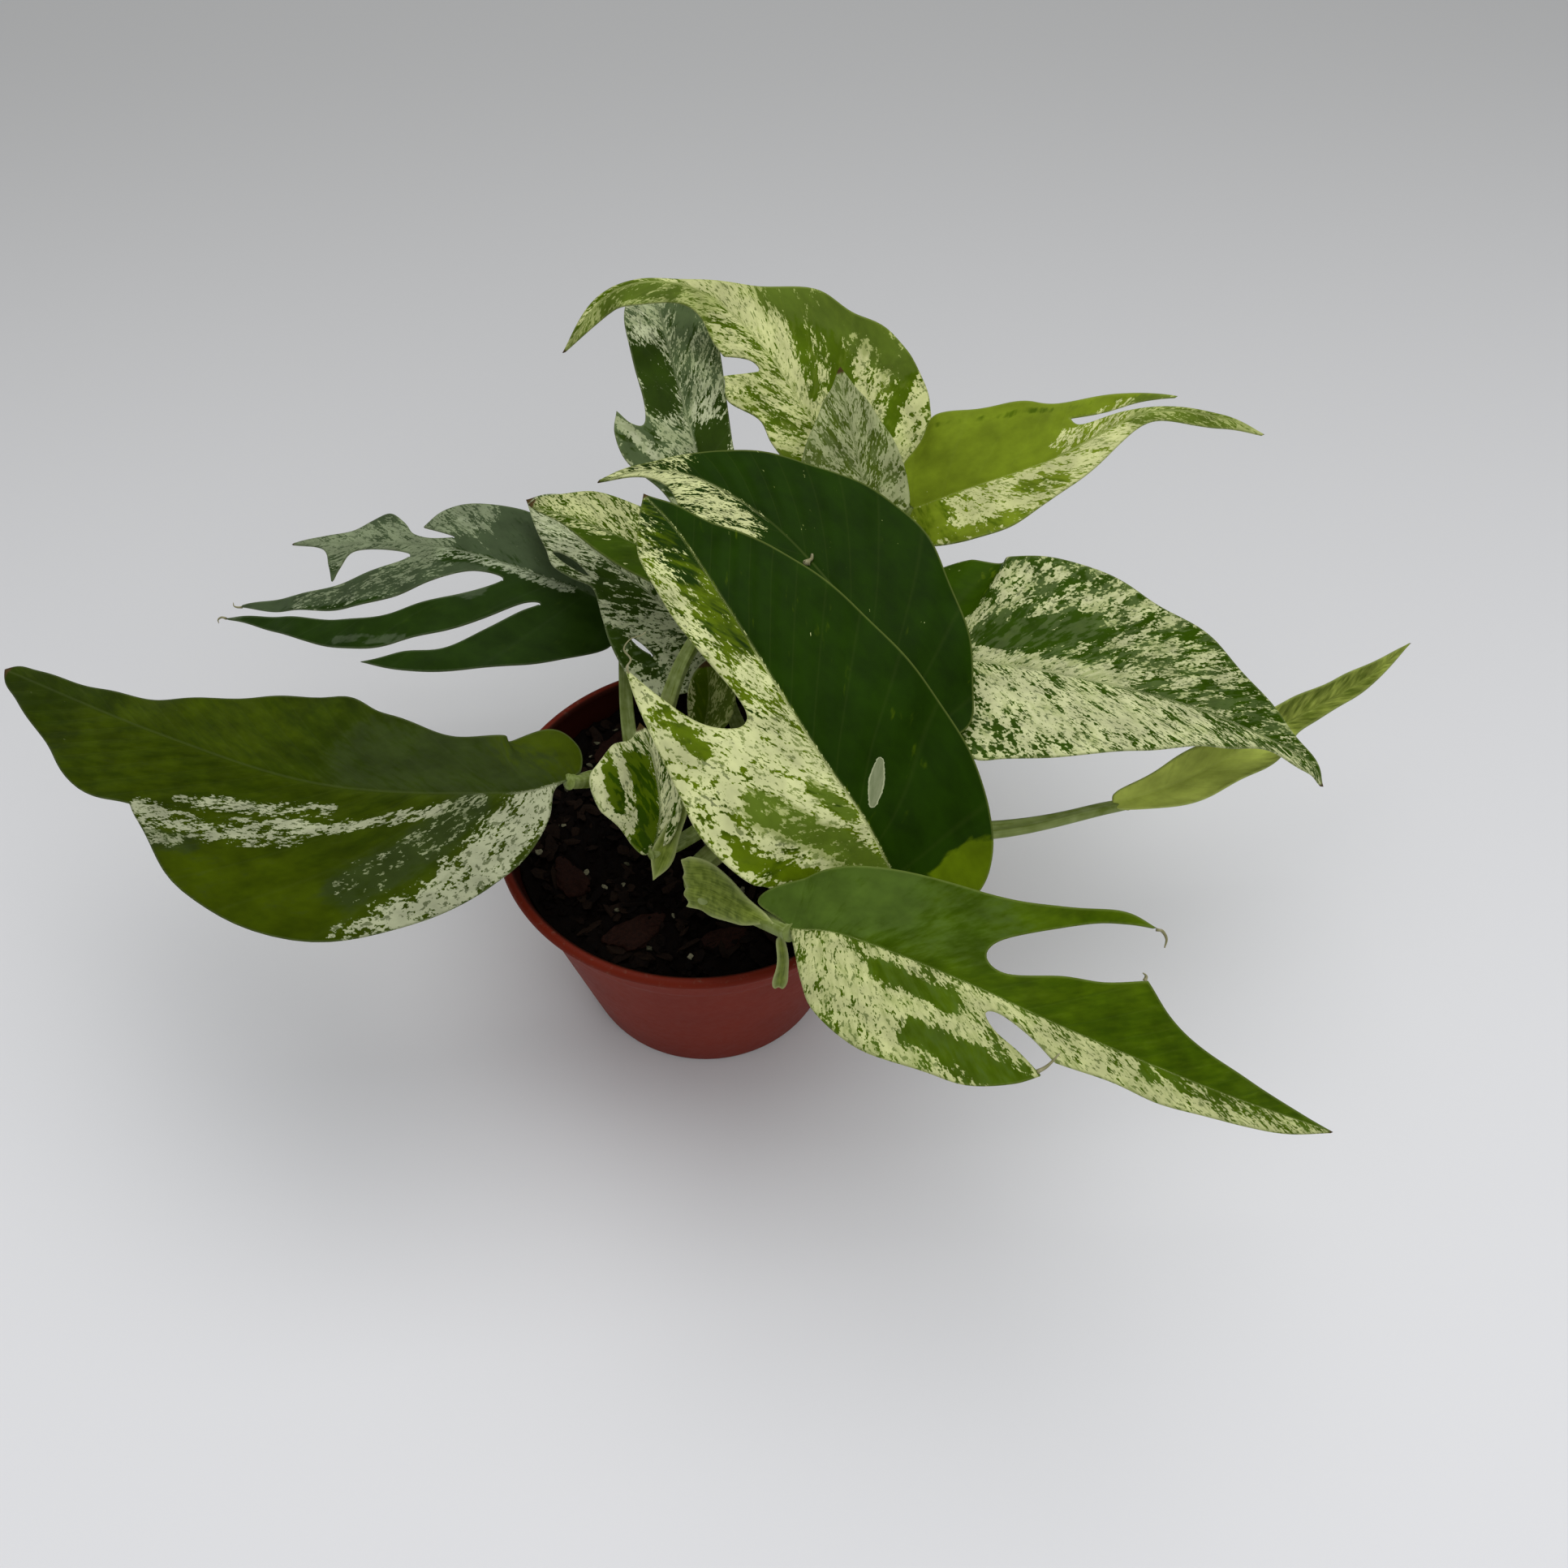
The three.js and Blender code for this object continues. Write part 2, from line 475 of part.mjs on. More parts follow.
// ---- Leaf table ----------------------------------------------------------------------------
// spine: points of the midrib, stalk end first; face: the way the upper side looks.
// left, right: the margin as [distance along the midrib, distance from it], corners marked 1.
// fold: degrees each half is lifted above flat at the midrib; curl: degrees more every 30 mm.
const LEAVES = {
  long_left: {
    spine: [[-31, -10, 97], [-47, -16, 101], [-88, -12, 103], [-131, 12, 97], [-182, 50, 84]],
    face: [0, -0.26, 0.97],
    fold: [-14, -12],
    curl: [0, 0],
    left: [[5, 2], [9, 9], [18, 21], [36, 31], [58, 37], [83, 33], [103, 22], [108, 18.5, 1],
      [126, 20], [145, 13], [166, 5]],
    right: [[-4, 2], [-6, 9], [-2, 16], [10, 17], [29, 17], [50, 23], [70, 26], [97, 18],
      [120, 9], [145, 5], [166, 3]],
  },
  front_big: {
    spine: [[42.5, -50, 105], [36, -42, 117], [26, -31, 129], [9, -1, 143], [-1, 22, 145], [-9, 41, 141]],
    face: [0, -0.36, 0.93],
    fold: [0, 6],
    curl: [-4, -8],
    left: [[-2, 4], [-1, 11], [6, 20], [17, 28], [31, 32], [42, 31], [61, 29], [71, 27, 1],
      [62, 24], [52, 19], [47, 13], [48, 9.5], [54, 9], [66, 11], [80, 12], [97, 11], [108, 6]],
    right: [[-6, 4], [-14, 12], [-12, 19], [-2, 25], [12, 28], [30, 29], [47, 27], [63, 23],
      [79, 17], [95, 8], [108, 3.5]],
  },
  behind_big: {
    spine: [[57, -8, 105], [48, 6, 115], [36, 26, 122], [22, 45, 127], [6, 61, 128], [-8, 67, 127], [-22, 64, 126]],
    face: [0, -0.3, 0.95],
    fold: [5, 5],
    curl: [0, -10],
    left: [[-3, 4], [-6, 12], [4, 20], [22, 22], [57, 22], [86, 13], [99, 5], [110, 1.6]],
    right: [[-4, 4], [-3, 10], [4, 15], [16, 21], [31, 25], [44, 28], [56, 26], [68, 21],
      [80, 16], [92, 9], [104, 2.5], [114, 1.2]],
  },
  right_marbled: {
    spine: [[60, 26, 97], [72, 17, 102], [97, 9, 102], [128, 4, 93], [157, 0, 77], [165, -3, 67]],
    face: [0.1, -0.3, 0.95],
    fold: [14, 18],
    curl: [-20, -14],
    left: [[-3, 3], [-9, 10], [-11, 20], [-7, 27], [3, 31], [24, 32], [40, 32], [58, 26],
      [73, 21], [90, 12], [104, 5], [114, 2]],
    right: [[-3, 4], [0, 12], [11, 19], [20, 30], [28, 29], [45, 23], [66, 15], [82, 9],
      [96, 4], [110, 3.5]],
  },
  back_right: {
    spine: [[62, 72, 105], [74, 69, 113], [99, 69, 123], [124, 79, 128], [146, 82, 123], [161, 82, 116]],
    face: [0, -0.4, 0.91],
    fold: [12, 8],
    curl: [-24, 0],
    left: [[-3, 5], [-2, 11], [5, 18], [12, 23], [24, 21], [38, 18], [50, 13], [62, 8.5],
      [70, 6], [81, 4, 1], [70, 3.6], [60, 4.4], [50, 8, 1], [52, 5], [62, 3], [73, 1.6], [95, 1.2]],
    right: [[-3, 4], [1, 11], [12, 15], [24, 15], [34, 12], [46, 8], [58, 5], [71, 2.5],
      [84, 4], [96, 2.4]],
  },
  front_right: {
    spine: [[17.6, -66, 110.5], [28.6, -72.7, 116.5], [50.5, -85.5, 117], [73, -94.5, 109], [105, -101.5, 92], [136, -103, 71]],
    face: [0, -0.3, 0.95],
    fold: [10, -4],
    curl: [0, -8],
    left: [[-4, 2], [-10, 5], [-6, 9], [6, 13], [21, 17], [40, 19], [54, 23], [68, 27.6],
      [77, 27, 1], [70, 25.4], [61, 22], [51, 16], [44, 10.5], [43, 6.5], [48, 5.2], [59, 9.6],
      [69, 12.2], [78, 16, 1], [86, 11], [98, 7], [112, 4.6], [125, 2.2]],
    right: [[2, 4], [6, 11], [13, 17], [26, 21], [40, 20], [49, 19], [57, 15], [62, 11, 1],
      [56, 8.5], [50, 6.5], [47, 4], [50, 3], [57, 4.6], [64, 7.4, 1], [76, 6.6], [88, 7],
      [100, 6], [112, 5], [125, 3.6]],
  },
  young_rolled: {
    spine: [[107, -5.7, 68.5], [127.5, -0.3, 70.5], [160, 18, 68.5], [189, 36.5, 64], [209.5, 52.5, 62]],
    face: [0, -0.4, 0.91],
    fold: [30, 30],
    curl: [90, 60],
    left: [[2, 3], [13, 5.5], [26, 8], [44, 8], [62, 6.5], [78, 5.5], [95, 4], [108, 1.8]],
    right: [[2, 3], [14, 8], [30, 10], [44, 9.5], [54, 6.5, 1], [62, 4], [78, 3.6], [96, 2.6], [108, 1.2]],
  },
  left_fingered: {
    spine: [[-18, 64, 83], [-33, 68, 90], [-64, 80, 94], [-99, 98, 82], [-115, 107, 74]],
    face: [0, -0.3, 0.95],
    fold: [-6, -4],
    curl: [0, 0],
    left: [[-2, 5], [-2, 12], [9, 21], [20, 27], [35, 34], [50, 38], [66, 37, 1], [53, 33],
      [41, 29], [31, 20], [24, 12], [20, 8], [24, 9.5], [33, 17.5], [45, 25.5], [60, 31.5], [74, 33.5],
      [91, 31.5], [105, 28], [120, 24.5], [131, 24, 1], [110, 24.6], [91, 25], [70, 24], [54, 18.5],
      [42, 12.5], [32, 5], [41, 5], [52, 11], [64, 17], [78, 21], [96, 22.4], [112, 22.4],
      [124, 21, 1], [108, 19.4], [97, 18], [85, 14], [70, 8], [62, 3.6], [72, 2.4], [84, 3], [87, 8],
      [88, 13, 1], [91, 8], [96, 2.5]],
    right: [[-3, 5], [2, 12], [12, 15], [24, 16], [36, 18], [47, 16], [58, 12], [62, 6, 1],
      [55, 4.6], [50, 3.4], [57, 2.2], [64, 3.4], [69, 7], [76, 10], [82, 8], [88, 4], [97, 2], [106, 1.2]],
  },
  back_upright: {
    spine: [[8, 80, 105], [5, 92, 112], [0, 115, 124], [-3, 135, 128], [-6, 155, 124]],
    face: [0, -0.5, 0.86],
    fold: [6, 6],
    curl: [0, 0],
    left: [[-3, 4], [-2, 9], [6, 13], [15, 19.5], [24, 21], [30, 19, 1], [26, 16], [25, 12.5],
      [31, 11], [44, 11], [58, 11], [70, 8.5], [78, 4]],
    right: [[-3, 4], [0, 9], [14, 10], [26, 11.5], [38, 13], [52, 14], [62, 13], [72, 9], [79, 4]],
  },
  back_top: {
    spine: [[51, 82, 105], [38, 96, 117], [27, 111, 129], [16, 120, 138], [5, 123, 144], [-8, 124, 145],
      [-19, 125, 139], [-31, 121, 125]],
    face: [0, -0.45, 0.89],
    fold: [5, 5],
    curl: [0, -16],
    left: [[-4, 5], [-5, 13], [4, 17], [14, 14], [24, 14], [31, 13], [40, 18], [48, 15, 1],
      [44, 8.5], [43, 5.5], [47, 6], [53, 11, 1], [60, 10], [74, 6], [88, 7], [98, 5], [108, 3]],
    right: [[-7, 2], [-9, 9], [-3, 20], [5, 29], [14, 34], [34, 34], [43, 26], [51, 22],
      [61, 9.5], [75, 1.8], [90, 1], [105, 1.6]],
  },
  back_small: {
    spine: [[50, 69, 108], [48, 76, 119], [45, 82, 131], [43, 88, 141]],
    face: [0.1, -0.5, 0.86],
    fold: [4, 4],
    curl: [0, 0],
    left: [[-3, 5], [-2, 14], [8, 19], [15, 18], [22, 14], [27, 9], [31, 6], [34, 3]],
    right: [[-4, 5], [-2, 11], [6, 12], [15, 10.5], [22, 8], [28, 6], [33, 3]],
  },
  mid_tongue: {
    spine: [[9, 41, 107], [-1, 45, 113], [-11, 47, 119], [-25, 54, 122], [-40, 66, 118]],
    face: [0, -0.4, 0.91],
    fold: [10, 10],
    curl: [0, 0],
    left: [[-3, 5], [-2, 10], [8, 10.5], [20, 8.5], [34, 6.5], [46, 2.6], [56, 1]],
    right: [[-3, 5], [4, 9.5], [16, 10], [30, 9.2], [42, 8], [52, 5], [58, 2.4]],
  },
  mid_grey: {
    spine: [[7, 41, 87], [-6, 49, 96], [-18, 58, 102], [-31, 71, 104], [-43, 87, 102]],
    face: [0, -0.35, 0.93],
    fold: [5, 5],
    curl: [0, 0],
    left: [[-3, 6], [-2, 14], [4, 21], [10, 23], [17, 21], [23, 18], [28, 14], [35, 9],
      [41, 10.5], [47, 11], [53, 8], [62, 4.6]],
    right: [[-3, 6], [4, 12], [21, 14], [41, 13], [58, 10], [68, 5]],
    holes: [[[12, 13], [16, 15], [20, 13.5], [16, 12]]],
  },
  small_cupped: {
    spine: [[-11, -27, 90], [-9, -21, 97], [-10, -11, 104], [-13, -3, 108]],
    face: [0, -0.5, 0.86],
    fold: [20, 15],
    curl: [10, 0],
    left: [[-2, 3], [3, 9], [9, 15], [18, 17], [24, 14], [28, 9], [28, 4]],
    right: [[2, 3], [9, 5], [17, 5.5], [23, 4.5], [26, 2.5]],
  },
  small_folded: {
    spine: [[2, 21, 76], [4, 25, 85], [4, 28, 96]],
    face: [0, -0.6, 0.8],
    fold: [20, 20],
    curl: [0, 0],
    left: [[0, 2], [4, 5], [12, 6], [18, 4]],
    right: [[0, 3], [6, 7], [14, 7], [19, 3.5]],
  },
};

// ---- Stalk table: path from the stem to the blade, radius at each end ------------------------
const STALKS = {
  long_left: { path: [[-13, 2, 71], [-18, -1, 82], [-25, -6, 91], [-30, -10, 96]], radius: [2.2, 1.7] },
  front_big: { path: [[15, -12, 78], [27, -26, 84], [39, -41, 91], [42.5, -50, 103.5]], radius: [2.4, 1.8] },
  behind_big: { path: [[21, 18, 82], [34, 8, 92], [48, -3, 98], [57, -9, 103.5]], radius: [2.4, 1.8] },
  right_marbled: { path: [[22, 24, 78], [36, 28, 86], [50, 29, 92], [59, 27, 95.5]], radius: [2.3, 1.8] },
  back_right: { path: [[23, 27, 84], [34, 44, 91], [49, 61, 97], [61, 72, 103.5]], radius: [2.2, 1.7] },
  front_right: {
    path: [[8, -14, 74], [-2, -30, 83], [-1, -43, 92], [6.5, -52.5, 100], [16.6, -65.2, 108.6]],
    radius: [2.3, 1.8],
    wings: [
      {
        spine: [[-3, -39, 90.5], [0, -44, 95], [7, -53, 101], [14.5, -62.5, 107]],
        face: [0.1, 0.2, 1],
        fold: [30, 30],
        curl: [0, 0],
        left: [[0, 5, 1], [8, 7], [18, 6], [24, 3]],
        right: [[0, 5, 1], [6, 8], [14, 9], [22, 5]],
      },
      {
        spine: [[16, -63.5, 107], [17, -66, 100], [17.5, -68, 93]],
        face: [0.2, -1, 0.3],
        fold: [20, 20],
        curl: [0, 0],
        left: [[3, 2], [10, 2.2]],
        right: [[3, 2], [10, 2.4]],
      },
    ],
  },
  young_rolled: { path: [[17, -6, 76], [39, -14, 78.5], [72, -16.5, 74.5], [105.8, -6.2, 68]], radius: [2.5, 2] },
  left_fingered: { path: [[-16, 10, 68], [-18, 28, 74], [-18, 48, 79], [-17, 63, 82]], radius: [2, 1.5] },
  back_upright: { path: [[18, 26, 76], [18, 44, 80], [14, 62, 87], [8.5, 79, 103.5]], radius: [2, 1.5] },
  back_top: { path: [[20, 28, 80], [29, 50, 87], [44, 76, 92], [51, 83, 103.5]], radius: [2.3, 1.8] },
  back_small: { path: [[19, 31, 94], [30, 48, 102], [43, 61, 106], [50, 68, 106.8]], radius: [1.8, 1.4] },
  mid_tongue: { path: [[-9, 12, 88], [-3, 24, 97], [4, 34, 102], [9, 40, 105.5]], radius: [1.9, 1.4] },
  mid_grey: { path: [[13, 23, 68], [10, 30, 73], [8, 36, 79], [7, 41.3, 86]], radius: [1.8, 1.4] },
  small_cupped: {
    path: [[6, -10, 80], [1, -18, 85], [-6, -25, 88], [-11, -27.5, 89]],
    radius: [1.8, 1.4],
  },
  small_folded: { path: [[3, 13, 64.5], [2.4, 17, 69], [2, 20.5, 74.5]], radius: [1.6, 1.2] },
};

const STEMS = {
  left: [[-13, 5, 54], [-14, 6, 66], [-13, 8, 78], [-11, 10, 87]],
  front: [[11, -9, 54], [12, -10, 66], [12, -9, 76], [13, -8, 83]],
  back: [[15, 19, 54], [16, 20, 68], [18, 23, 82], [18, 26, 95]],
};

const BARK = {
  front: { at: [-18, -32], size: [17, 9, 2.6], turn: 0.5 },
  left: { at: [-34, -14], size: [15, 8, 2.4], turn: 2.1 },
  middle: { at: [4, -36], size: [13, 7, 2.2], turn: 3.4 },
  right: { at: [27, -20], size: [12, 8, 2.4], turn: 5.2 },
  back: { at: [-22, 28], size: [14, 8, 2.4], turn: 4.1 },
};

// ---- Assembly ------------------------------------------------------------------------------
const part = new THREE.Group();
part.name = "potted_pothos";

function addNode(name, solid, colour, roughness) {
  const geometry = geometryOf(solid);
  geometry.computeVertexNormals();
  const material = new THREE.MeshStandardMaterial({ color: colour, roughness, metalness: 0 });
  const node = new THREE.Mesh(geometry, material);
  node.name = name;
  part.add(node);
}

// Each stem stands in its own socket, and each stalk stops just clear of its stem and its blade.
const stemRadius = (t) => 3.4 - 0.9 * t + 0.35 * Math.sin(9.5 * t) ** 2;
const socketRadius = (t) => stemRadius(t) + FIT_GAP;
const paths = Object.values(STEMS);
const sockets = paths.map((path) => solidOf(tubeGeometry(path, socketRadius, 10, 4)));
const beds = Object.values(BARK).map((flake) => barkSolid(flake, FIT_GAP));

addNode("pot", potSolid(), 0xa8452c, 0.5);
addNode("soil", soilSolid([...sockets, ...beds]), 0x1d1613, 0.95);
for (const [name, flake] of Object.entries(BARK)) {
  addNode("bark_" + name, barkSolid(flake), 0x3a2a20, 0.9);
}
for (const [name, path] of Object.entries(STEMS)) {
  addNode("stem_" + name, solidOf(tubeGeometry(path, stemRadius, 8, 4)), 0x6f8a3a, 0.5);
}
for (const [name, stalk] of Object.entries(STALKS)) {
  const blade = solidOf(bladeGeometry(LEAVES[name], BLADE_THICKNESS + 3.5 * FIT_GAP));
  const cutters = [...sockets, blade];
  const solid = cutters.reduce((whole, cutter) => whole.subtract(cutter), stalkSolid(stalk));
  addNode("stalk_" + name, solid, 0x86a350, 0.5);
}
for (const [name, leaf] of Object.entries(LEAVES)) {
  addNode("leaf_" + name, solidOf(bladeGeometry(leaf)), 0x4d7a2b, 0.4);
}

export default part;
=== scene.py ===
"""The finished look of a potted marble pothos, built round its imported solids.

Everything is in metres, +Z up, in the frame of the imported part. Sizes that describe a plant's
growth are in millimetres, and turn to metres where a mesh is made.
"""
import logging
import math
from collections.abc import Callable
from dataclasses import dataclass, field
from enum import Enum

import bpy
import numpy as np
from mathutils import Matrix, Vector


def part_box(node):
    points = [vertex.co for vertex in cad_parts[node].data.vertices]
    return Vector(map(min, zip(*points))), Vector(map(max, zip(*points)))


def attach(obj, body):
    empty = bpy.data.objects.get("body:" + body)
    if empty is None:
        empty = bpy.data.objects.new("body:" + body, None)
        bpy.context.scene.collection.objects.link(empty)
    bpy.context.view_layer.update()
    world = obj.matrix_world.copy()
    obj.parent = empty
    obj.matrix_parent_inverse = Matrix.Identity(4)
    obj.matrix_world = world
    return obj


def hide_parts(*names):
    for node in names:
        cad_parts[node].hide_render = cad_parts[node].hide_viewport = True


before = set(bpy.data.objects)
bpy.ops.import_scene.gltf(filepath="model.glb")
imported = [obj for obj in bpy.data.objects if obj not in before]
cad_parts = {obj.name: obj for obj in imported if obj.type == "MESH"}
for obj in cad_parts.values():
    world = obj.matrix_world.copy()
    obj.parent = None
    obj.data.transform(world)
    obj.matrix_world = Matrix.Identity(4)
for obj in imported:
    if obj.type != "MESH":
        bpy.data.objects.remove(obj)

logging.basicConfig(level=logging.INFO, format="%(message)s")
log = logging.getLogger("pothos")

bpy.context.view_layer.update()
MM = 0.001
BODY = "root"

Point2 = tuple[float, float]
Point3 = tuple[float, float, float]
Outline = tuple[tuple[float, ...], ...]
Array = np.ndarray
Values = dict[str, Array]
Object = bpy.types.Object
Material = bpy.types.Material
Socket = bpy.types.NodeSocket
Paint = Socket | str


# ---- Curves and grids ----
def smooth_curve(points: Array, steps: int) -> Array:
    """Carries a Catmull-Rom curve through points: each stretch is the cubic that passes its two
    ends with slopes of half the way between their neighbours.

    Args:
        points: the points it passes, one a row.
        steps: how many straight steps each stretch becomes.

    Returns:
        The points along the curve, one a row.
    """
    points = np.asarray(points, float)
    ends = (2 * points[0] - points[1], 2 * points[-1] - points[-2])
    full = np.vstack([ends[0], points, ends[1]])
    t = np.linspace(0, 1, steps, endpoint=False)[None, :, None]
    a, b, c, d = (full[i:len(full) - 3 + i][:, None, :] for i in range(4))
    twist = 3 * b - a - 3 * c + d
    curve = b + 0.5 * t * ((c - a) + t * ((2 * a - 5 * b + 4 * c - d) + t * twist))
    return np.vstack([curve.reshape(-1, points.shape[1]), points[-1:]])


def smooth_step(low: float, high: float, value: Array) -> Array:
    """Rises from 0 at low to 1 at high, as 3t^2 - 2t^3 of the way t between them."""
    t = np.clip((value - low) / (high - low), 0, 1)
    return t * t * (3 - 2 * t)


def unit(rows: Array) -> Array:
    """Gives each row the length 1."""
    return rows / np.linalg.norm(rows, axis=-1, keepdims=True)


# How many random heights a noise lattice has along each side before it repeats.
LATTICE = 64


def lattice_noise(x: Array, y: Array, cell: float, seed: int) -> Array:
    """Smooth noise from -1 to 1: random heights on a square lattice, blended between its corners
    by the 3t^2 - 2t^3 curve.

    Args:
        x: places along one axis.
        y: places along the other axis, the same shape.
        cell: the lattice spacing, in the places' unit.
        seed: picks the lattice's random heights.

    Returns:
        The height at each place.
    """
    heights = np.random.default_rng(seed).uniform(-1, 1, (LATTICE, LATTICE))
    column = np.floor(x / cell).astype(int)
    row = np.floor(y / cell).astype(int)
    across = smooth_step(0, 1, x / cell - column)
    up = smooth_step(0, 1, y / cell - row)
    corner = [
        [heights[(column + i) % LATTICE, (row + j) % LATTICE] for j in (0, 1)] for i in (0, 1)
    ]
    low = corner[0][0] * (1 - across) + corner[1][0] * across
    high = corner[0][1] * (1 - across) + corner[1][1] * across
    return low * (1 - up) + high * up


def make_object(
    name: str,
    vertices: Array,
    faces: list[list[int]],
    attributes: Values | None = None,
) -> Object:
    """Makes a smooth-shaded mesh object at the origin.

    Args:
        name: the object's name.
        vertices: its vertices in metres, one a row.
        faces: each face's vertices, turning left seen from outside.
        attributes: values kept on the vertices, one number or three a vertex.

    Returns:
        The object, linked to the scene.
    """
    mesh = bpy.data.meshes.new(name)
    mesh.from_pydata(vertices.tolist(), [], faces)
    for label, values in (attributes or {}).items():
        vector = values.ndim == 2
        layer = mesh.attributes.new(label, "FLOAT_VECTOR" if vector else "FLOAT", "POINT")
        layer.data.foreach_set("vector" if vector else "value", values.astype(np.float32).ravel())
    mesh.polygons.foreach_set("use_smooth", np.ones(len(faces), bool))
    mesh.update()
    piece = bpy.data.objects.new(name, mesh)
    bpy.context.scene.collection.objects.link(piece)
    return piece


def grid_faces(rows: int, columns: int, closed_rows: bool) -> Array:
    """Lists the four-cornered faces of a grid whose columns close on themselves.

    Args:
        rows: how many rows of points it has.
        columns: how many points each row has.
        closed_rows: whether the last row joins the first.

    Returns:
        Each face's four points, as their numbers row by row.
    """
    row = np.arange(rows if closed_rows else rows - 1)[:, None]
    column = np.arange(columns)[None, :]
    next_row = (row + 1) % rows
    next_column = (column + 1) % columns
    corners = (
        row * columns + column,
        row * columns + next_column,
        next_row * columns + next_column,
        next_row * columns + column,
    )
    return np.stack(corners, -1).reshape(-1, 4)


def ring_piece(
    name: str,
    rings: Array,
    attributes: Values | None = None,
    closed_rows: bool = False,
) -> Object:
    """Makes a closed surface from a stack of rings.

    Args:
        name: the object's name.
        rings: an array of rings by points by three, in metres.
        attributes: values for the ring points, an array of rings by points, and by three.
        closed_rows: whether the last ring joins the first. If not, a fan closes each end.

    Returns:
        The object.
    """
    rows, columns = rings.shape[:2]
    vertices = rings.reshape(-1, 3)
    faces = grid_faces(rows, columns, closed_rows).tolist()
    values = {k: v.reshape(rows * columns, *v.shape[2:]) for k, v in (attributes or {}).items()}
    if not closed_rows:
        vertices = np.vstack([vertices, rings[0].mean(0), rings[-1].mean(0)])
        pole = rows * columns
        around = np.arange(columns)
        after = (around + 1) % columns
        last = pole - columns
        faces += np.stack([np.full(columns, pole), after, around], -1).tolist()
        faces += np.stack([np.full(columns, pole + 1), last + around, last + after], -1).tolist()
        for key, value in values.items():
            ends = np.stack([value[0], value[last]])
            values[key] = np.concatenate([value, ends])
    return make_object(name, vertices, faces, values)


def claim(piece: Object, material: Material, slot: str, *nodes: str) -> Object:
    """Gives a piece its material and its place in the model: it rides on the plant's one body.

    Args:
        piece: the piece.
        material: its material.
        slot: not used.
        nodes: the CAD nodes that it stands for, which are hidden.

    Returns:
        The piece.
    """
    piece.data.materials.append(material)
    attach(piece, BODY)
    if nodes:
        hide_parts(*nodes)
    return piece


# ---- Flat sheets cut to an outline ----
@dataclass(frozen=True)
class CutSheet:
    """A flat grid of square cells cut to an outline: its points, its faces, and how far each point
    is from the outline, all in millimetres."""

    points: Array
    squares: Array
    corners: Array
    edge: Array

    def closed_faces(self) -> list[list[int]]:
        """Doubles the sheet into an upper and a lower face, and joins them round every edge.

        Returns:
            Faces over the upper points followed by the lower points. The rim's faces come last.
        """
        count = len(self.points)
        loops = (self.squares, self.corners)
        upper = [face for loop in loops for face in loop.tolist()]
        lower = [face for loop in loops for face in (loop[:, ::-1] + count).tolist()]
        start = np.concatenate([loop.ravel() for loop in loops])
        end = np.concatenate([np.roll(loop, -1, 1).ravel() for loop in loops])
        open_edge = ~np.isin(end * count + start, start * count + end)
        a, b = start[open_edge], end[open_edge]
        rim = np.stack([b, a, a + count, b + count], -1).tolist()
        return upper + lower + rim


def cut_sheet(loops: list[Array], pitch: float) -> CutSheet:
    """Cuts a square grid to closed outlines, the inner ones being holes.

    A grid point nearer than half a cell to an outline moves to the nearest place on it. A cell
    stays if its middle lies inside, as four corners, or as three where one corner lies outside.

    Args:
        loops: closed outlines in millimetres, one point a row.
        pitch: the cell size in millimetres.

    Returns:
        The cut sheet.
    """
    starts = np.vstack(loops)
    ends = np.vstack([np.roll(loop, -1, 0) for loop in loops])
    low = np.floor(starts.min(0) / pitch) - 1
    high = np.ceil(starts.max(0) / pitch) + 1
    x, y = (np.arange(low[i], high[i] + 1) * pitch for i in (0, 1))
    points = np.stack(np.meshgrid(x, y, indexing="ij"), -1).reshape(-1, 2)
    rows = len(y)
    distance, nearest, within = measure(points, starts, ends)
    snapped = distance < pitch / 2
    kept = within | snapped
    points = np.where(snapped[:, None], nearest, points)
    cell = (np.arange(len(x) - 1)[:, None] * rows + np.arange(rows - 1)[None, :]).ravel()
    cells = np.stack([cell, cell + rows, cell + rows + 1, cell + 1], -1)
    count = kept[cells].sum(1)
    squares = cells[count == 4]
    torn = cells[count == 3]
    gap = np.argmin(kept[torn], 1)
    order = (gap[:, None] + np.arange(1, 4)) % 4
    corners = np.take_along_axis(torn, order, 1)
    squares, corners = (keep_inside(points, group, starts, ends) for group in (squares, corners))
    used = np.unique(np.concatenate([squares.ravel(), corners.ravel()]))
    renamed = np.zeros(len(points), int)
    renamed[used] = np.arange(len(used))
    edge = np.where(snapped, 0, distance)
    return CutSheet(points[used], renamed[squares], renamed[corners], edge[used])


# Twice the area in square millimetres below which a face counts as having none.
LEAST_AREA = 1e-3
# How many points are measured at once, so that the arrays stay small.
BLOCK = 1500


def keep_inside(
    points: Array, faces: Array, starts: Array, ends: Array
) -> Array:
    """Drops the faces whose middle lies outside the outlines, and those without area.

    Args:
        points: places in millimetres, one a row.
        faces: each face's points, one face a row.
        starts: where each straight piece of the outlines starts.
        ends: where each straight piece ends.

    Returns:
        The faces that stay, one a row.
    """
    place = points[faces]
    after = np.roll(place, -1, 1)
    area = (place[..., 0] * after[..., 1] - place[..., 1] * after[..., 0]).sum(1)
    within = measure(place.mean(1), starts, ends)[2]
    return faces[within & (area > LEAST_AREA)]


